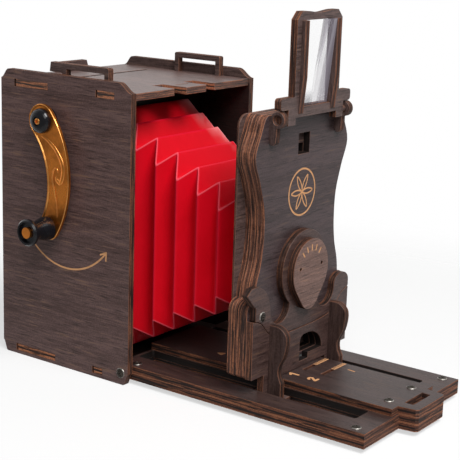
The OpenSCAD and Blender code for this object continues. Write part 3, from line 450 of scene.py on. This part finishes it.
def screw_steel(name, axis, look):
    """Screw head: bright on the rounded rim as a painted reflection, dull and dark on top as painted shade.
    """
    material, shader, place, facing = start_material(name)
    tarnish = noise(place, (420.0, 420.0, 420.0), detail=3.0)
    # Painted reflection on the rim and painted shade on the top, set by the way each face points
    flat = rise(abs(axes(facing)[axis]), 0.72, 0.9)
    colour = mix(flat, look.steel, scaled(look.tarnish, 0.35))
    colour = mix(rise(tarnish, 0.45, 0.7) * 0.5, colour, look.tarnish)
    rough = 0.36 + flat * 0.2 + (tarnish - 0.5) * 0.2
    feed(shader, {"Base Color": colour, "Metallic": 1.0, "Roughness": rough})
    return material


def matt_black(name, base, speck):
    """Matt moulded plastic or rubber with a fine eggshell grain."""
    material, shader, place, _ = start_material(name)
    grain = noise(place, (1400.0, 1400.0, 1400.0), detail=2.0)
    cloud = noise(place, (90.0, 90.0, 90.0), detail=3.0)
    colour = mix(rise(cloud, 0.4, 0.7) * 0.7, base, speck)
    bump = relief((grain - 0.5) * (0.02 * MM))
    feed(shader, {"Base Color": colour, "Roughness": 0.6 + (grain - 0.5) * 0.25, "Normal": bump})
    return material


def clear_lens(name, look):
    """Clear acrylic sheet: see-through on the left, with a painted violet-grey glare on the right that a
    slanting white streak of painted reflection crosses, and a little painted shade along the foot."""
    material, shader, place, _ = start_material(name)
    low, high = (np.array(v, float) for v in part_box("finder_lens"))
    x, _, z = axes(place)
    over = (x - low[0]) / (high[0] - low[0])
    up = (z - low[2]) / (high[2] - low[2])
    haze = noise(place, (90.0, 90.0, 30.0), detail=2.0)
    # Painted reflections: a violet-grey glare right of a slanting line, a white streak across it, and
    # painted shade along the foot
    slant = over - up * 0.12
    glare = rise(slant, 0.43, 0.45)
    streak_reflection = 1.0 - rise(abs(over - up * 0.32 - 0.5) - (1.0 - up) * 0.12, 0.03, 0.09)
    foot = 1.0 - rise(up, 0.02, 0.2)
    alpha = 0.03 + glare * (0.46 + up * 0.2) * (1.0 - streak_reflection * 0.65) + (1.0 - glare) * foot * 0.4
    colour = mix(glare, scaled(look.lens, 0.4), look.lens)
    rough = 0.08 + (haze - 0.5) * 0.05
    alpha = alpha + (haze - 0.5) * 0.06
    feed(shader, {"Base Color": colour, "Roughness": rough, "Alpha": alpha})
    return material


def leatherette(look):
    """Red leatherette: fine grain, paler along the ridges and the fold corners, as wear with a painted
    highlight, and whitish at the strained spots, as stretch whitening with painted glare.
    """
    material, shader, place, _ = start_material("red_leatherette")
    crease = place.node("ShaderNodeAttribute", {"attribute_name": "crease"}, {}, out="Fac")
    corner = place.node("ShaderNodeAttribute", {"attribute_name": "corner"}, {}, out="Fac")
    strain = place.node("ShaderNodeAttribute", {"attribute_name": "strain"}, {}, out="Fac")
    grain = noise(place, (1300.0, 1300.0, 1300.0), detail=3.0)
    cloud = noise(place, (55.0, 55.0, 55.0), detail=3.0)
    colour = mix(rise(cloud, 0.35, 0.7) * 0.5, look.red, look.red_deep)
    # Painted highlight along the ridges, and worn fold corners with a painted highlight
    colour = mix(rise(crease, 0.6, 1.0) * 0.3, colour, look.red_highlight)
    colour = mix(rise(corner, 0.55, 1.0) * 0.5, colour, look.crease)
    # Strained spots: stretch whitening with painted glare
    colour = mix(strain * rise(cloud, 0.36, 0.58) * 0.8, colour, look.strain)
    rough = 0.42 + (grain - 0.5) * 0.2 + corner * 0.1
    bump = relief((grain - 0.5) * (0.03 * MM))
    feed(shader, {"Base Color": colour, "Roughness": rough, "Normal": bump})
    shader.inputs["Specular IOR Level"].default_value = look.red_gloss
    return material


# Shapes


def put_mesh(name, points, faces, material):
    """A mesh object at the origin from points and faces."""
    mesh = bpy.data.meshes.new(name)
    mesh.from_pydata(points.reshape(-1, 3).tolist(), [], faces.tolist())
    mesh.polygons.foreach_set("use_smooth", np.ones(len(mesh.polygons), bool))
    mesh.materials.append(material)
    mesh.update()
    piece = bpy.data.objects.new(name, mesh)
    bpy.context.scene.collection.objects.link(piece)
    return piece


def grid_faces(rows, columns, closed):
    """Quads of a grid of points, row by row. A closed grid joins its last column to its first."""
    r = np.arange(rows - 1)[:, None]
    c = np.arange(columns if closed else columns - 1)[None, :]
    d = (c + 1) % columns
    a, b = r * columns + c, r * columns + d
    return np.stack([a, b, b + columns, a + columns], axis=-1).reshape(-1, 4)


def smooth_path(points, steps):
    """Catmull-Rom curve through the points, with the given number of steps between two of them."""
    p = np.array(points, float)
    p = np.concatenate([[2 * p[0] - p[1]], p, [2 * p[-1] - p[-2]]])
    a, b, c, d = (p[k:len(p) - 3 + k][:, None] for k in range(4))
    t = np.linspace(0, 1, steps, endpoint=False)[None, :, None]
    run = 0.5 * (2 * b + (c - a) * t + (2 * a - 5 * b + 4 * c - d) * t**2 + (3 * b - a - 3 * c + d) * t**3)
    return np.concatenate([run.reshape(-1, p.shape[1]), p[-2:-1]])


def rib(points, radius, height, plane):
    """Raised rib on a plane of constant X: an ellipse, half sunk, carried along a smooth curve through
    points of Y and Z, and drawn in to a point at both ends by a power of a sine."""
    path = smooth_path(points, 8) * MM
    along = np.gradient(path, axis=0)
    along /= np.linalg.norm(along, axis=1, keepdims=True)
    side = np.stack([-along[:, 1], along[:, 0]], axis=1)
    share = np.linspace(0, 1, len(path))
    taper = np.sin(math.pi * np.clip(share, 0.002, 0.998))[:, None] ** 0.4
    turn = np.linspace(0, 2 * math.pi, 14, endpoint=False)[None, :]
    out = plane - height * taper * np.cos(turn)
    across = radius * taper * np.sin(turn)
    y = path[:, :1] + side[:, :1] * across
    z = path[:, 1:] + side[:, 1:] * across
    points = np.stack([out, y, z], axis=-1)
    return points, grid_faces(len(path), turn.shape[1], True)


def box_round(corner_steps, offsets, side_steps):
    """Points round a box with round corners, counter-clockwise from the right side's upper end. Each has
    the corner that it belongs to, its angle on the rounding, and how far it lies from that corner along
    the side, as an offset in metres and as a share of what is left of the side. One quarter is laid out
    as an array and turned to the four corners."""
    offsets = np.array(offsets)
    inner = np.linspace(0, 1, side_steps + 2)[1:-1]
    near, far = corner_steps + len(offsets) + side_steps, len(offsets)
    arc = np.linspace(0, math.pi / 2, corner_steps)
    angle = np.concatenate([arc, np.full(near - corner_steps + far, math.pi / 2)])
    none = np.zeros(corner_steps)
    offset = np.concatenate([none, offsets, np.full(side_steps, offsets[-1]), offsets[::-1]])
    share = np.concatenate([none, np.zeros(far), inner, np.zeros(far)])
    corners = np.array([(1, 1), (-1, 1), (-1, -1), (1, -1)], float)[:, None]
    following = np.roll(corners, -1, 0)
    sign = np.concatenate([np.repeat(corners, near, axis=1), np.repeat(following, far, axis=1)], axis=1)
    angle = angle + np.arange(4)[:, None] * math.pi / 2
    return sign[..., 0].ravel(), sign[..., 1].ravel(), angle.ravel(), np.tile(offset, 4), np.tile(share, 4)


def folded_skin(look):
    """Bellows skin: boxes with round corners, whose half width grows and half height shrinks by a triangle
    wave with rounded peaks, while both taper evenly from the gate to the standard. Odd folds stand out at
    top and bottom, even ones at the sides."""
    low, high = (np.array(v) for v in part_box("bellows"))
    gate, board = high[1], low[1]
    folds, steps = 15, 10
    i = np.linspace(0, folds, folds * steps + 1)
    t = i / folds
    k = look.fold_sharpness
    q = 0.5 + np.arcsin(k * np.cos(math.pi * i)) / (2 * math.asin(k))
    rear_w, front_w = 25.0 * MM, 13.4 * MM
    rear_h, front_h = 55.2 * MM, 18.0 * MM
    depth, middle = 7.0 * MM, 58.4 * MM
    half_w = rear_w + (front_w - rear_w) * t + depth * q
    half_h = rear_h + (front_h - rear_h) * t - depth * q
    offsets = [0.5 * MM, 1.2 * MM, 2.4 * MM, 4.0 * MM, 6.0 * MM]
    sx, sz, angle, offset, share = box_round(4, offsets, 9)
    radius = 0.7 * MM
    along_x = (np.abs(np.cos(angle)) < 1e-6) & (offset > 0)
    along_z = (np.abs(np.sin(angle)) < 1e-6) & (offset > 0)
    wide, tall = half_w[:, None] - radius, half_h[:, None] - radius
    run_x = np.where(along_x, offset + share * 2 * (wide - offset), 0.0)
    run_z = np.where(along_z, offset + share * 2 * (tall - offset), 0.0)
    x = sx * (wide - run_x) + radius * np.cos(angle)
    z = sz * (tall - run_z) + radius * np.sin(angle)
    y = np.broadcast_to((gate + (board - gate) * t)[:, None], x.shape)
    points = np.stack([x, y, z + middle], axis=-1)
    # Masks of the painted highlights along the ridges and the fold corners
    crease = np.broadcast_to((np.abs(np.cos(math.pi * i)) ** 8)[:, None], x.shape)
    from_corner = np.where(share > 0, 9.0 * MM, offset)
    corner = np.broadcast_to(np.exp(-from_corner / (0.5 * MM))[None, :], x.shape)
    # Strained spots at the upper right corners: stretch whitening with painted glare
    upper_right = (sx > 0) & (sz > 0) & ~along_z & (share == 0)
    strain = (np.exp(-from_corner / (4.0 * MM)) * upper_right)[None, :] * (1.0 - q[:, None])
    return points, crease, corner, np.broadcast_to(strain, x.shape)


# Settings


def colour_setting(name, description, value):
    """A colour that a user can change."""
    return bpy.props.FloatVectorProperty(
        name=name, description=description, default=value, size=3, min=0.0, max=1.0, subtype="COLOR"
    )


class PlywoodLook(bpy.types.PropertyGroup):
    """Colours of the stained sheets."""

    stain: colour_setting("Stain", "Dark tone of the stained faces", (0.068, 0.04, 0.035))
    bloom: colour_setting("Bloom", "Light tone of the stained faces", (0.135, 0.087, 0.08))
    fleck: colour_setting("Fleck", "Ochre streaks in the grain", (0.2, 0.118, 0.068))
    # Char colours the scorched glue lines, and is also the painted shade of the inner faces and of the
    # walls of openings
    char: colour_setting("Char", "Scorched glue lines and blackened faces", (0.013, 0.008, 0.007))
    core: colour_setting("Core", "Plies on the edges across the grain", (0.08, 0.039, 0.03))
    ply: colour_setting("Ply", "Outer plies on the cut edges", (0.14, 0.051, 0.029))
    amber: colour_setting("Amber", "Pale fibres of the outer plies", (0.44, 0.17, 0.08))
    # Worn corners of the sheets, with a painted highlight
    rim_wear_and_highlight: colour_setting("Rim", "Rubbed corners of the sheets", (0.24, 0.11, 0.068))
    engraved: colour_setting("Engraved", "Raw wood in the engraved marks", (0.8, 0.41, 0.19))
    sheen: bpy.props.FloatProperty(
        name="Sheen", description="Gloss of the stained faces",
        default=0.28, min=0.0, max=1.0, subtype="FACTOR",
    )
    arris: bpy.props.FloatProperty(
        name="Arris", description="Width of the rubbed corners",
        default=0.00014, min=0.0, max=0.0005, unit="LENGTH",
    )


class FittingLook(bpy.types.PropertyGroup):
    """Colours of the metal, plastic and acrylic pieces."""

    gilt: colour_setting("Gilt", "Gilt metal", (0.92, 0.3, 0.048))
    gilt_deep: colour_setting("Deep gilt", "Darker clouds in the gilt metal", (0.46, 0.145, 0.024))
    # Colour of the painted highlight along the gilt metal's corners
    gilt_highlight: colour_setting("Bright gilt", "Rubbed corners of the gilt metal", (0.95, 0.58, 0.2))
    black: colour_setting("Black", "Polished black plastic", (0.006, 0.006, 0.008))
    dust: colour_setting("Dust", "Dust on the black plastic", (0.05, 0.05, 0.055))
    steel: colour_setting("Steel", "Bright steel", (0.5, 0.47, 0.43))
    tarnish: colour_setting("Tarnish", "Dull spots on the steel", (0.16, 0.14, 0.12))
    # Colour of the painted glare on the lens
    lens: colour_setting("Lens", "Haze on the finder's lens", (0.4, 0.36, 0.42))


class BellowsLook(bpy.types.PropertyGroup):
    """Colours and folds of the bellows."""

    red: colour_setting("Red", "Leatherette", (0.72, 0.003, 0.014))
    red_deep: colour_setting("Deep red", "Darker clouds in the leatherette", (0.6, 0.002, 0.008))
    # Colour of the painted highlight along the ridges
    red_highlight: colour_setting("Pale red", "Leatherette along the ridges", (0.8, 0.02, 0.07))
    # Worn fold corners with a painted highlight
    crease: colour_setting("Crease", "Corners of the folds", (0.92, 0.14, 0.19))
    # Strained spots at the upper right corner: stretch whitening with painted glare
    strain: colour_setting("Strain", "Strained spots at the upper right corner", (0.95, 0.5, 0.5))
    red_gloss: bpy.props.FloatProperty(
        name="Gloss", description="Gloss of the leatherette",
        default=0.1, min=0.0, max=1.0, subtype="FACTOR",
    )
    fold_sharpness: bpy.props.FloatProperty(
        name="Fold sharpness", description="1 gives knife-edged folds",
        default=0.985, min=0.8, max=0.999,
    )
    wall: bpy.props.FloatProperty(
        name="Wall", description="Thickness of the leatherette",
        default=0.0006, min=0.0002, max=0.001, unit="LENGTH",
    )


class StudioLook(bpy.types.PropertyGroup):
    """Light and floor of the studio."""

    key: bpy.props.FloatProperty(
        name="Key", description="Power of the soft box overhead",
        default=22.5, min=0.0, max=200.0, unit="POWER",
    )
    fill: bpy.props.FloatProperty(
        name="Fill", description="Power of the soft box at the front",
        default=7.5, min=0.0, max=200.0, unit="POWER",
    )
    ambient: bpy.props.FloatProperty(
        name="Ambient", description="Level of the light from all round",
        default=0.14, min=0.0, max=2.0,
    )
    dusk: bpy.props.FloatProperty(
        name="Dusk", description="Level of the studio behind the camera, in reflections",
        default=0.2, min=0.0, max=1.0,
    )
    floor: colour_setting("Floor", "Paper that the camera stands on", (0.96, 0.96, 0.96))


# Pieces


X, Y, Z = 0, 1, 2
# Each sheet's axis through its thickness and axis along its grain
SHEETS = {
    "left_side_panel": (X, Y), "right_side_panel": (X, Y), "top_panel": (Z, Y), "bottom_panel": (Z, Y),
    "rear_door": (Y, X), "left_strap_loop": (X, Y), "right_strap_loop": (X, Y), "bellows_gate": (Y, X),
    "film_mask": (Y, X), "pack_rails": (X, Z), "left_roller_plate": (X, Y), "right_roller_plate": (X, Y),
    "bed_top_sheet": (Z, Y), "bed_bottom_sheet": (Z, Y), "scale_plate": (Z, Y), "bellows_frame": (Y, X),
    "board_rear_sheet": (Y, X), "board_middle_sheet": (Y, X), "board_front_sheet": (Y, X),
    "apron_sheet": (Y, X), "anchor_sheet": (Y, X), "left_gusset": (X, Z), "right_gusset": (X, Z),
    "sliders": (Z, Y), "left_finder_eye": (X, Z), "right_finder_eye": (X, Z), "shutter_lever": (Y, X),
    "finder_frame": (Y, X), "left_finder_blade": (X, Z), "right_finder_blade": (X, Z),
}
# Shares of red, green and blue in the stain of single sheets. The shutter lever's lighter wood is its own;
# the other shares are painted light and shade: the top panel lighter, the front sheets, gussets, scale
# plate and bed darker, and the inner parts near black
INNER_SHADE, FRONT_SHADE, SIDE_SHADE = (0.16, 0.16, 0.16), (0.75, 0.68, 0.66), (0.7, 0.66, 0.64)
STAIN_AND_SHADE = {
    "left_side_panel": (1.26, 1.18, 1.2), "shutter_lever": (1.8, 1.6, 1.42), "top_panel": (1.25, 1.2, 1.18),
    "scale_plate": (0.5, 0.48, 0.48), "board_front_sheet": (0.62, 0.64, 0.73), "apron_sheet": FRONT_SHADE,
    "anchor_sheet": FRONT_SHADE, "bed_top_sheet": (0.48, 0.44, 0.43), "left_gusset": SIDE_SHADE, "right_gusset": SIDE_SHADE,
    "bellows_gate": INNER_SHADE, "film_mask": INNER_SHADE, "pack_rails": INNER_SHADE, "left_roller_plate": INNER_SHADE,
    "right_roller_plate": INNER_SHADE,
}
# How much glossier than the others a sheet is
GLOSS = {"top_panel": 2.2}
# Side of the axis on which a sheet's face looks into the box; below the top panel these faces get painted
# shade, near black
INSIDE_SHADE = {
    "left_side_panel": 1.0, "right_side_panel": -1.0, "top_panel": -1.0, "bottom_panel": 1.0,
    "rear_door": -1.0,
}
# How much lighter or darker a sheet's cut edges are: partly the edges' own tone, partly painted light and
# shade, lighter on the recessed top and bottom panels, darker on the gussets and the anchor
EDGE_TONE_AND_LIGHT = {
    "left_gusset": 0.62, "right_gusset": 0.62, "anchor_sheet": 0.5, "shutter_lever": 0.62,
    "left_finder_eye": 0.8, "right_finder_eye": 0.8, "left_finder_blade": 0.95, "right_finder_blade": 0.95,
    "finder_frame": 0.95, "left_side_panel": 0.85, "right_side_panel": 0.85, "top_panel": 1.3,
    "bottom_panel": 1.3, "board_front_sheet": 1.5, "board_middle_sheet": 1.5, "board_rear_sheet": 1.5,
}
# Sheets whose edges along the grain show as tenon ends, which get painted light: amber across their middle
LIT_TENONS = ("top_panel", "bottom_panel")
# Openings whose walls get painted shade, near black: two edges along each of the sheet's own directions, in
# millimetres
CATCH, WINDOW, FILM_SLOT = (-5.0, 5.0, 99.2, 108.6), (-2.0, 16.8, 11.0, 26.0), (-30.0, 30.0, 13.5, 16.4)
SLOT_END = float(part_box("bed_top_sheet")[0][1]) / MM + 9.0
BED_SLOTS = ((-27.3, -16.7, SLOT_END, 0.0), (16.7, 27.3, SLOT_END, 0.0))
SHADED_OPENINGS = {
    "board_front_sheet": (CATCH, WINDOW), "board_middle_sheet": (CATCH, WINDOW),
    "board_rear_sheet": (CATCH, WINDOW), "apron_sheet": (WINDOW,), "top_panel": (FILM_SLOT,),
    "bed_top_sheet": BED_SLOTS, "bed_bottom_sheet": BED_SLOTS,
}
# Marks engraved in a sheet, and the side of the axis that they are on
MARKS = {
    "left_side_panel": (turning_arrow, -1.0),
    "board_front_sheet": (rosette, -1.0),
    "scale_plate": (scale_marks, 1.0),
    "shutter_lever": (dial_ticks, -1.0),
}

# Raised scrolls on the crank arm: half width, and points of Y and Z, in millimetres
SCROLL = {
    "upper_scroll": (1.0, [
        (8.8, 99.8), (4.5, 98.0), (-0.2, 94.1), (-3.3, 88.9), (-3.4, 84.4), (-2.0, 81.3), (0.1, 82.6),
        (0.0, 83.9),
    ]),
    "lower_scroll": (0.42, [
        (-0.9, 85.2), (-0.6, 86.6), (0.7, 87.1), (1.9, 85.4), (2.15, 81.6), (1.1, 77.6), (-0.2, 71.7),
        (-0.3, 66.4),
    ]),
}
SCROLL_HEIGHT = 0.4 * MM
ARM_CORNER = 0.22 * MM
# Axis of each group of screws
SCREWS = {"bed_screws": Z, "plate_screws": Z, "bed_hinge_screws": X, "standard_screws": Y}


def rub_corners(node, width):
    """Joins the triangles of a CAD node to flat faces and takes off its sharp corners."""
    weld = NODES[node].modifiers.new("Joined", "WELD")
    weld.merge_threshold = 0.002 * MM
    flat = NODES[node].modifiers.new("Flat faces", "DECIMATE")
    flat.decimate_type = "DISSOLVE"
    flat.angle_limit = math.radians(1.0)
    rubbed = NODES[node].modifiers.new("Rubbed corners", "BEVEL")
    rubbed.width = width
    rubbed.segments = 1
    rubbed.limit_method = "ANGLE"
    rubbed.angle_limit = math.radians(50)


class PINHOLE_OT_sheets(bpy.types.Operator):
    """Stain the plywood sheets, rub their corners and engrave their marks"""

    bl_idname = "pinhole.sheets"
    bl_label = "Plywood Sheets"

    def execute(self, context):
        look = context.scene.pinhole_plywood
        for name, (axis, along) in SHEETS.items():
            wear(plywood(name, axis, along, look), name)
            rub_corners(name, look.arris)
        return {"FINISHED"}


class PINHOLE_OT_bellows(bpy.types.Operator):
    """Fold the red bellows between the gate and the standard"""

    bl_idname = "pinhole.bellows"
    bl_label = "Bellows"

    def execute(self, context):
        look = context.scene.pinhole_bellows
        points, crease, corner, strain = folded_skin(look)
        rows, columns = points.shape[:2]
        piece = put_mesh("bellows_skin", points, grid_faces(rows, columns, True), leatherette(look))
        for name, values in (("crease", crease), ("corner", corner), ("strain", strain)):
            layer = piece.data.attributes.new(name, "FLOAT", "POINT")
            layer.data.foreach_set("value", np.ascontiguousarray(values, np.float32).ravel())
        wall = piece.modifiers.new("Wall", "SOLIDIFY")
        wall.thickness = look.wall
        wall.offset = -1.0
        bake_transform(piece)
        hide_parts("bellows")
        return {"FINISHED"}


class PINHOLE_OT_crank(bpy.types.Operator):
    """Gild the crank and polish its hub and knob"""

    bl_idname = "pinhole.crank"
    bl_label = "Crank"

    def execute(self, context):
        look = context.scene.pinhole_fittings
        golden, dark = gilt("gilt_crank", look), black_gloss("black_gloss", look)
        for name in ("crank_arm", "knob_axle", "hub_screw"):
            wear(golden, name)
        for name in ("hub_spacer", "hub_cap", "crank_knob"):
            wear(dark, name)
        rub_corners("crank_arm", ARM_CORNER)
        plane = float(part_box("hub_cap")[1][0])
        # The raised scrolls get a lighter copy of the gilt: a painted highlight
        bright = gilt("gilt_scroll_highlight", look, 1.3)
        for name, (radius, points) in SCROLL.items():
            piece = put_mesh(name, *rib(points, radius * MM, SCROLL_HEIGHT, plane), bright)
            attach(piece, "crank")
        return {"FINISHED"}


class PINHOLE_OT_fittings(bpy.types.Operator):
    """Finish the screws, bushes, gears, rollers and the film pack"""

    bl_idname = "pinhole.fittings"
    bl_label = "Screws and Film Gear"

    def execute(self, context):
        look = context.scene.pinhole_fittings
        bright, brass = steel("screw_steel", look), gilt("gear_brass", look, 0.9)
        rubber = matt_black("roller_rubber", (0.03, 0.03, 0.031), (0.05, 0.049, 0.047))
        moulded = matt_black("pack_plastic", (0.02, 0.02, 0.022), (0.032, 0.032, 0.034))
        for name, axis in SCREWS.items():
            wear(screw_steel("steel_" + name, axis, look), name)
        for name in ("shutter_peg", "crank_shaft", "pressure_shaft", "pressure_roller"):
            wear(bright, name)
        for name in ("shaft_bush", "tripod_bush", "drive_gear", "pressure_gear", "pinhole_plate"):
            wear(brass, name)
        wear(rubber, "drive_roller")
        wear(moulded, "film_pack")
        return {"FINISHED"}


class PINHOLE_OT_lens(bpy.types.Operator):
    """Make the finder's lens clear"""

    bl_idname = "pinhole.lens"
    bl_label = "Finder Lens"

    def execute(self, context):
        wear(clear_lens("clear_acrylic", context.scene.pinhole_fittings), "finder_lens")
        return {"FINISHED"}


# Studio


# Place, aim and size of each lamp, in metres
LAMPS = {
    "key_light": ((-0.28, -0.9, 1.36), (0.0, -0.05, 0.05), 0.8),
    "fill_light": ((-0.9, -0.8, 1.05), (0.0, -0.05, 0.06), 0.9),
}
FLOOR_REACH = 6.0
# The floor's cover, and the distances at which it starts and ends to fade
FLOOR_COVER, FADE_START, FADE_END = 0.4, 0.17, 0.32
FOCAL_LENGTH, SENSOR_WIDTH = 100.11, 36.0
# The camera's right, up and back directions and its place
CAMERA = (
    (0.590803, -0.806189, 0.031807),
    (0.171714, 0.164162, 0.971373),
    (-0.788331, -0.568428, 0.235421),
    (-0.42175, -0.35995, 0.18855),
)


def placed(right, up, back, place):
    """Matrix of a lamp or camera from its right, up and back directions and its place."""
    turn = np.eye(4)
    turn[:3] = np.stack([right, up, back, place], axis=1)
    return Matrix(turn.tolist())


def soft_box(name, place, aim, size, power):
    """A square area light that looks from place to aim."""
    light = bpy.data.lights.new(name, "AREA")
    light.shape = "SQUARE"
    light.size = size
    light.energy = power
    lamp = bpy.data.objects.new(name, light)
    back = np.array(place, float) - np.array(aim, float)
    back /= np.linalg.norm(back)
    side = np.cross((0.0, 0.0, 1.0) if abs(back[2]) < 0.99 else (0.0, 1.0, 0.0), back)
    side /= np.linalg.norm(side)
    lamp.matrix_world = placed(side, np.cross(back, side), back, place)
    bpy.context.scene.collection.objects.link(lamp)


class PINHOLE_OT_studio(bpy.types.Operator):
    """Set up the white floor, the soft light and the camera"""

    bl_idname = "pinhole.studio"
    bl_label = "Studio"

    def execute(self, context):
        look = context.scene.pinhole_studio
        scene = context.scene
        scene.view_settings.view_transform = "Standard"
        mesh = bpy.data.meshes.new("floor")
        reach = FLOOR_REACH
        corners = [(-reach, -reach, 0), (reach, -reach, 0), (reach, reach, 0), (-reach, reach, 0)]
        mesh.from_pydata(corners, [], [(0, 1, 2, 3)])
        floor = bpy.data.objects.new("floor", mesh)
        scene.collection.objects.link(floor)
        material, shader, place, _ = start_material("floor_paper")
        fibre = noise(place, (30.0, 30.0, 30.0), detail=2.0)
        x, y, _ = axes(place)
        far = (x * x + (y + 0.06) ** 2.0) ** 0.5
        colour = mix(fibre, look.floor, scaled(look.floor, 0.995))
        cover = FLOOR_COVER - rise(far, FADE_START, FADE_END) * FLOOR_COVER
        feed(shader, {"Base Color": colour, "Roughness": 0.9, "Alpha": cover})
        shader.inputs["Specular IOR Level"].default_value = 0.1
        mesh.materials.append(material)
        floor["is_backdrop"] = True

        world = bpy.data.worlds.new("studio")
        scene.world = world
        world.use_nodes = True
        tree = world.node_tree
        tree.nodes.clear()
        path = tree.nodes.new("ShaderNodeLightPath")
        rays = ("Is Camera Ray", "Is Glossy Ray", "Is Transmission Ray")
        direct, glossy, passing = (Tone(tree, path.outputs[ray]) for ray in rays)
        where = tree.nodes.new("ShaderNodeTexCoord")
        x, y, _ = axes(Tone(tree, where.outputs["Generated"]))
        behind = look.dusk + rise(x * 0.79 + y * 0.57, -0.3, 0.5) * (1.0 - look.dusk)
        backdrop = tree.nodes.new("ShaderNodeBackground")
        backdrop.inputs["Color"].default_value = (1.0, 1.0, 1.0, 1.0)
        clear = most(direct, passing)
        level = clear + (1.0 - clear) * (look.ambient + glossy * (behind - look.ambient))
        tree.links.new(level.socket, backdrop.inputs["Strength"])
        output = tree.nodes.new("ShaderNodeOutputWorld")
        tree.links.new(backdrop.outputs[0], output.inputs["Surface"])

        soft_box("key_light", *LAMPS["key_light"], look.key)
        soft_box("fill_light", *LAMPS["fill_light"], look.fill)

        lens = bpy.data.cameras.new("camera")
        lens.lens = FOCAL_LENGTH
        lens.sensor_width = SENSOR_WIDTH
        lens.clip_start = 0.01
        camera = bpy.data.objects.new("camera", lens)
        camera.matrix_world = placed(*CAMERA)
        scene.collection.objects.link(camera)
        scene.camera = camera
        return {"FINISHED"}


class PINHOLE_PT_panel(bpy.types.Panel):
    """Shows the settings and the steps of the pinhole camera"""

    bl_idname = "PINHOLE_PT_panel"
    bl_label = "Pinhole Camera"
    bl_space_type = "VIEW_3D"
    bl_region_type = "UI"
    bl_category = "Pinhole"

    def draw(self, context):
        for key in ("pinhole_plywood", "pinhole_fittings", "pinhole_bellows", "pinhole_studio"):
            group = getattr(context.scene, key)
            box = self.layout.box()
            for name in group.bl_rna.properties.keys():
                if name not in ("rna_type", "name"):
                    box.prop(group, name)
        for operator in OPERATORS:
            self.layout.operator(operator.bl_idname)


OPERATORS = (
    PINHOLE_OT_sheets,
    PINHOLE_OT_bellows,
    PINHOLE_OT_crank,
    PINHOLE_OT_fittings,
    PINHOLE_OT_lens,
    PINHOLE_OT_studio,
)
GROUPS = {
    "pinhole_plywood": PlywoodLook,
    "pinhole_fittings": FittingLook,
    "pinhole_bellows": BellowsLook,
    "pinhole_studio": StudioLook,
}


def register():
    for group in GROUPS.values():
        bpy.utils.register_class(group)
    for key, group in GROUPS.items():
        setattr(bpy.types.Scene, key, bpy.props.PointerProperty(type=group))
    for operator in OPERATORS:
        bpy.utils.register_class(operator)
    bpy.utils.register_class(PINHOLE_PT_panel)


def unregister():
    bpy.utils.unregister_class(PINHOLE_PT_panel)
    for operator in reversed(OPERATORS):
        bpy.utils.unregister_class(operator)
    for key, group in GROUPS.items():
        delattr(bpy.types.Scene, key)
        bpy.utils.unregister_class(group)


def main():
    register()
    for step in ("sheets", "bellows", "crank", "fittings", "lens", "studio"):
        getattr(bpy.ops.pinhole, step)()
    boxes = {"cad": CAD_BOX, "visual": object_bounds()}
    boxes = {key: [[float(c) for c in corner] for corner in box] for key, box in boxes.items()}


if __name__ == "__main__":
    main()
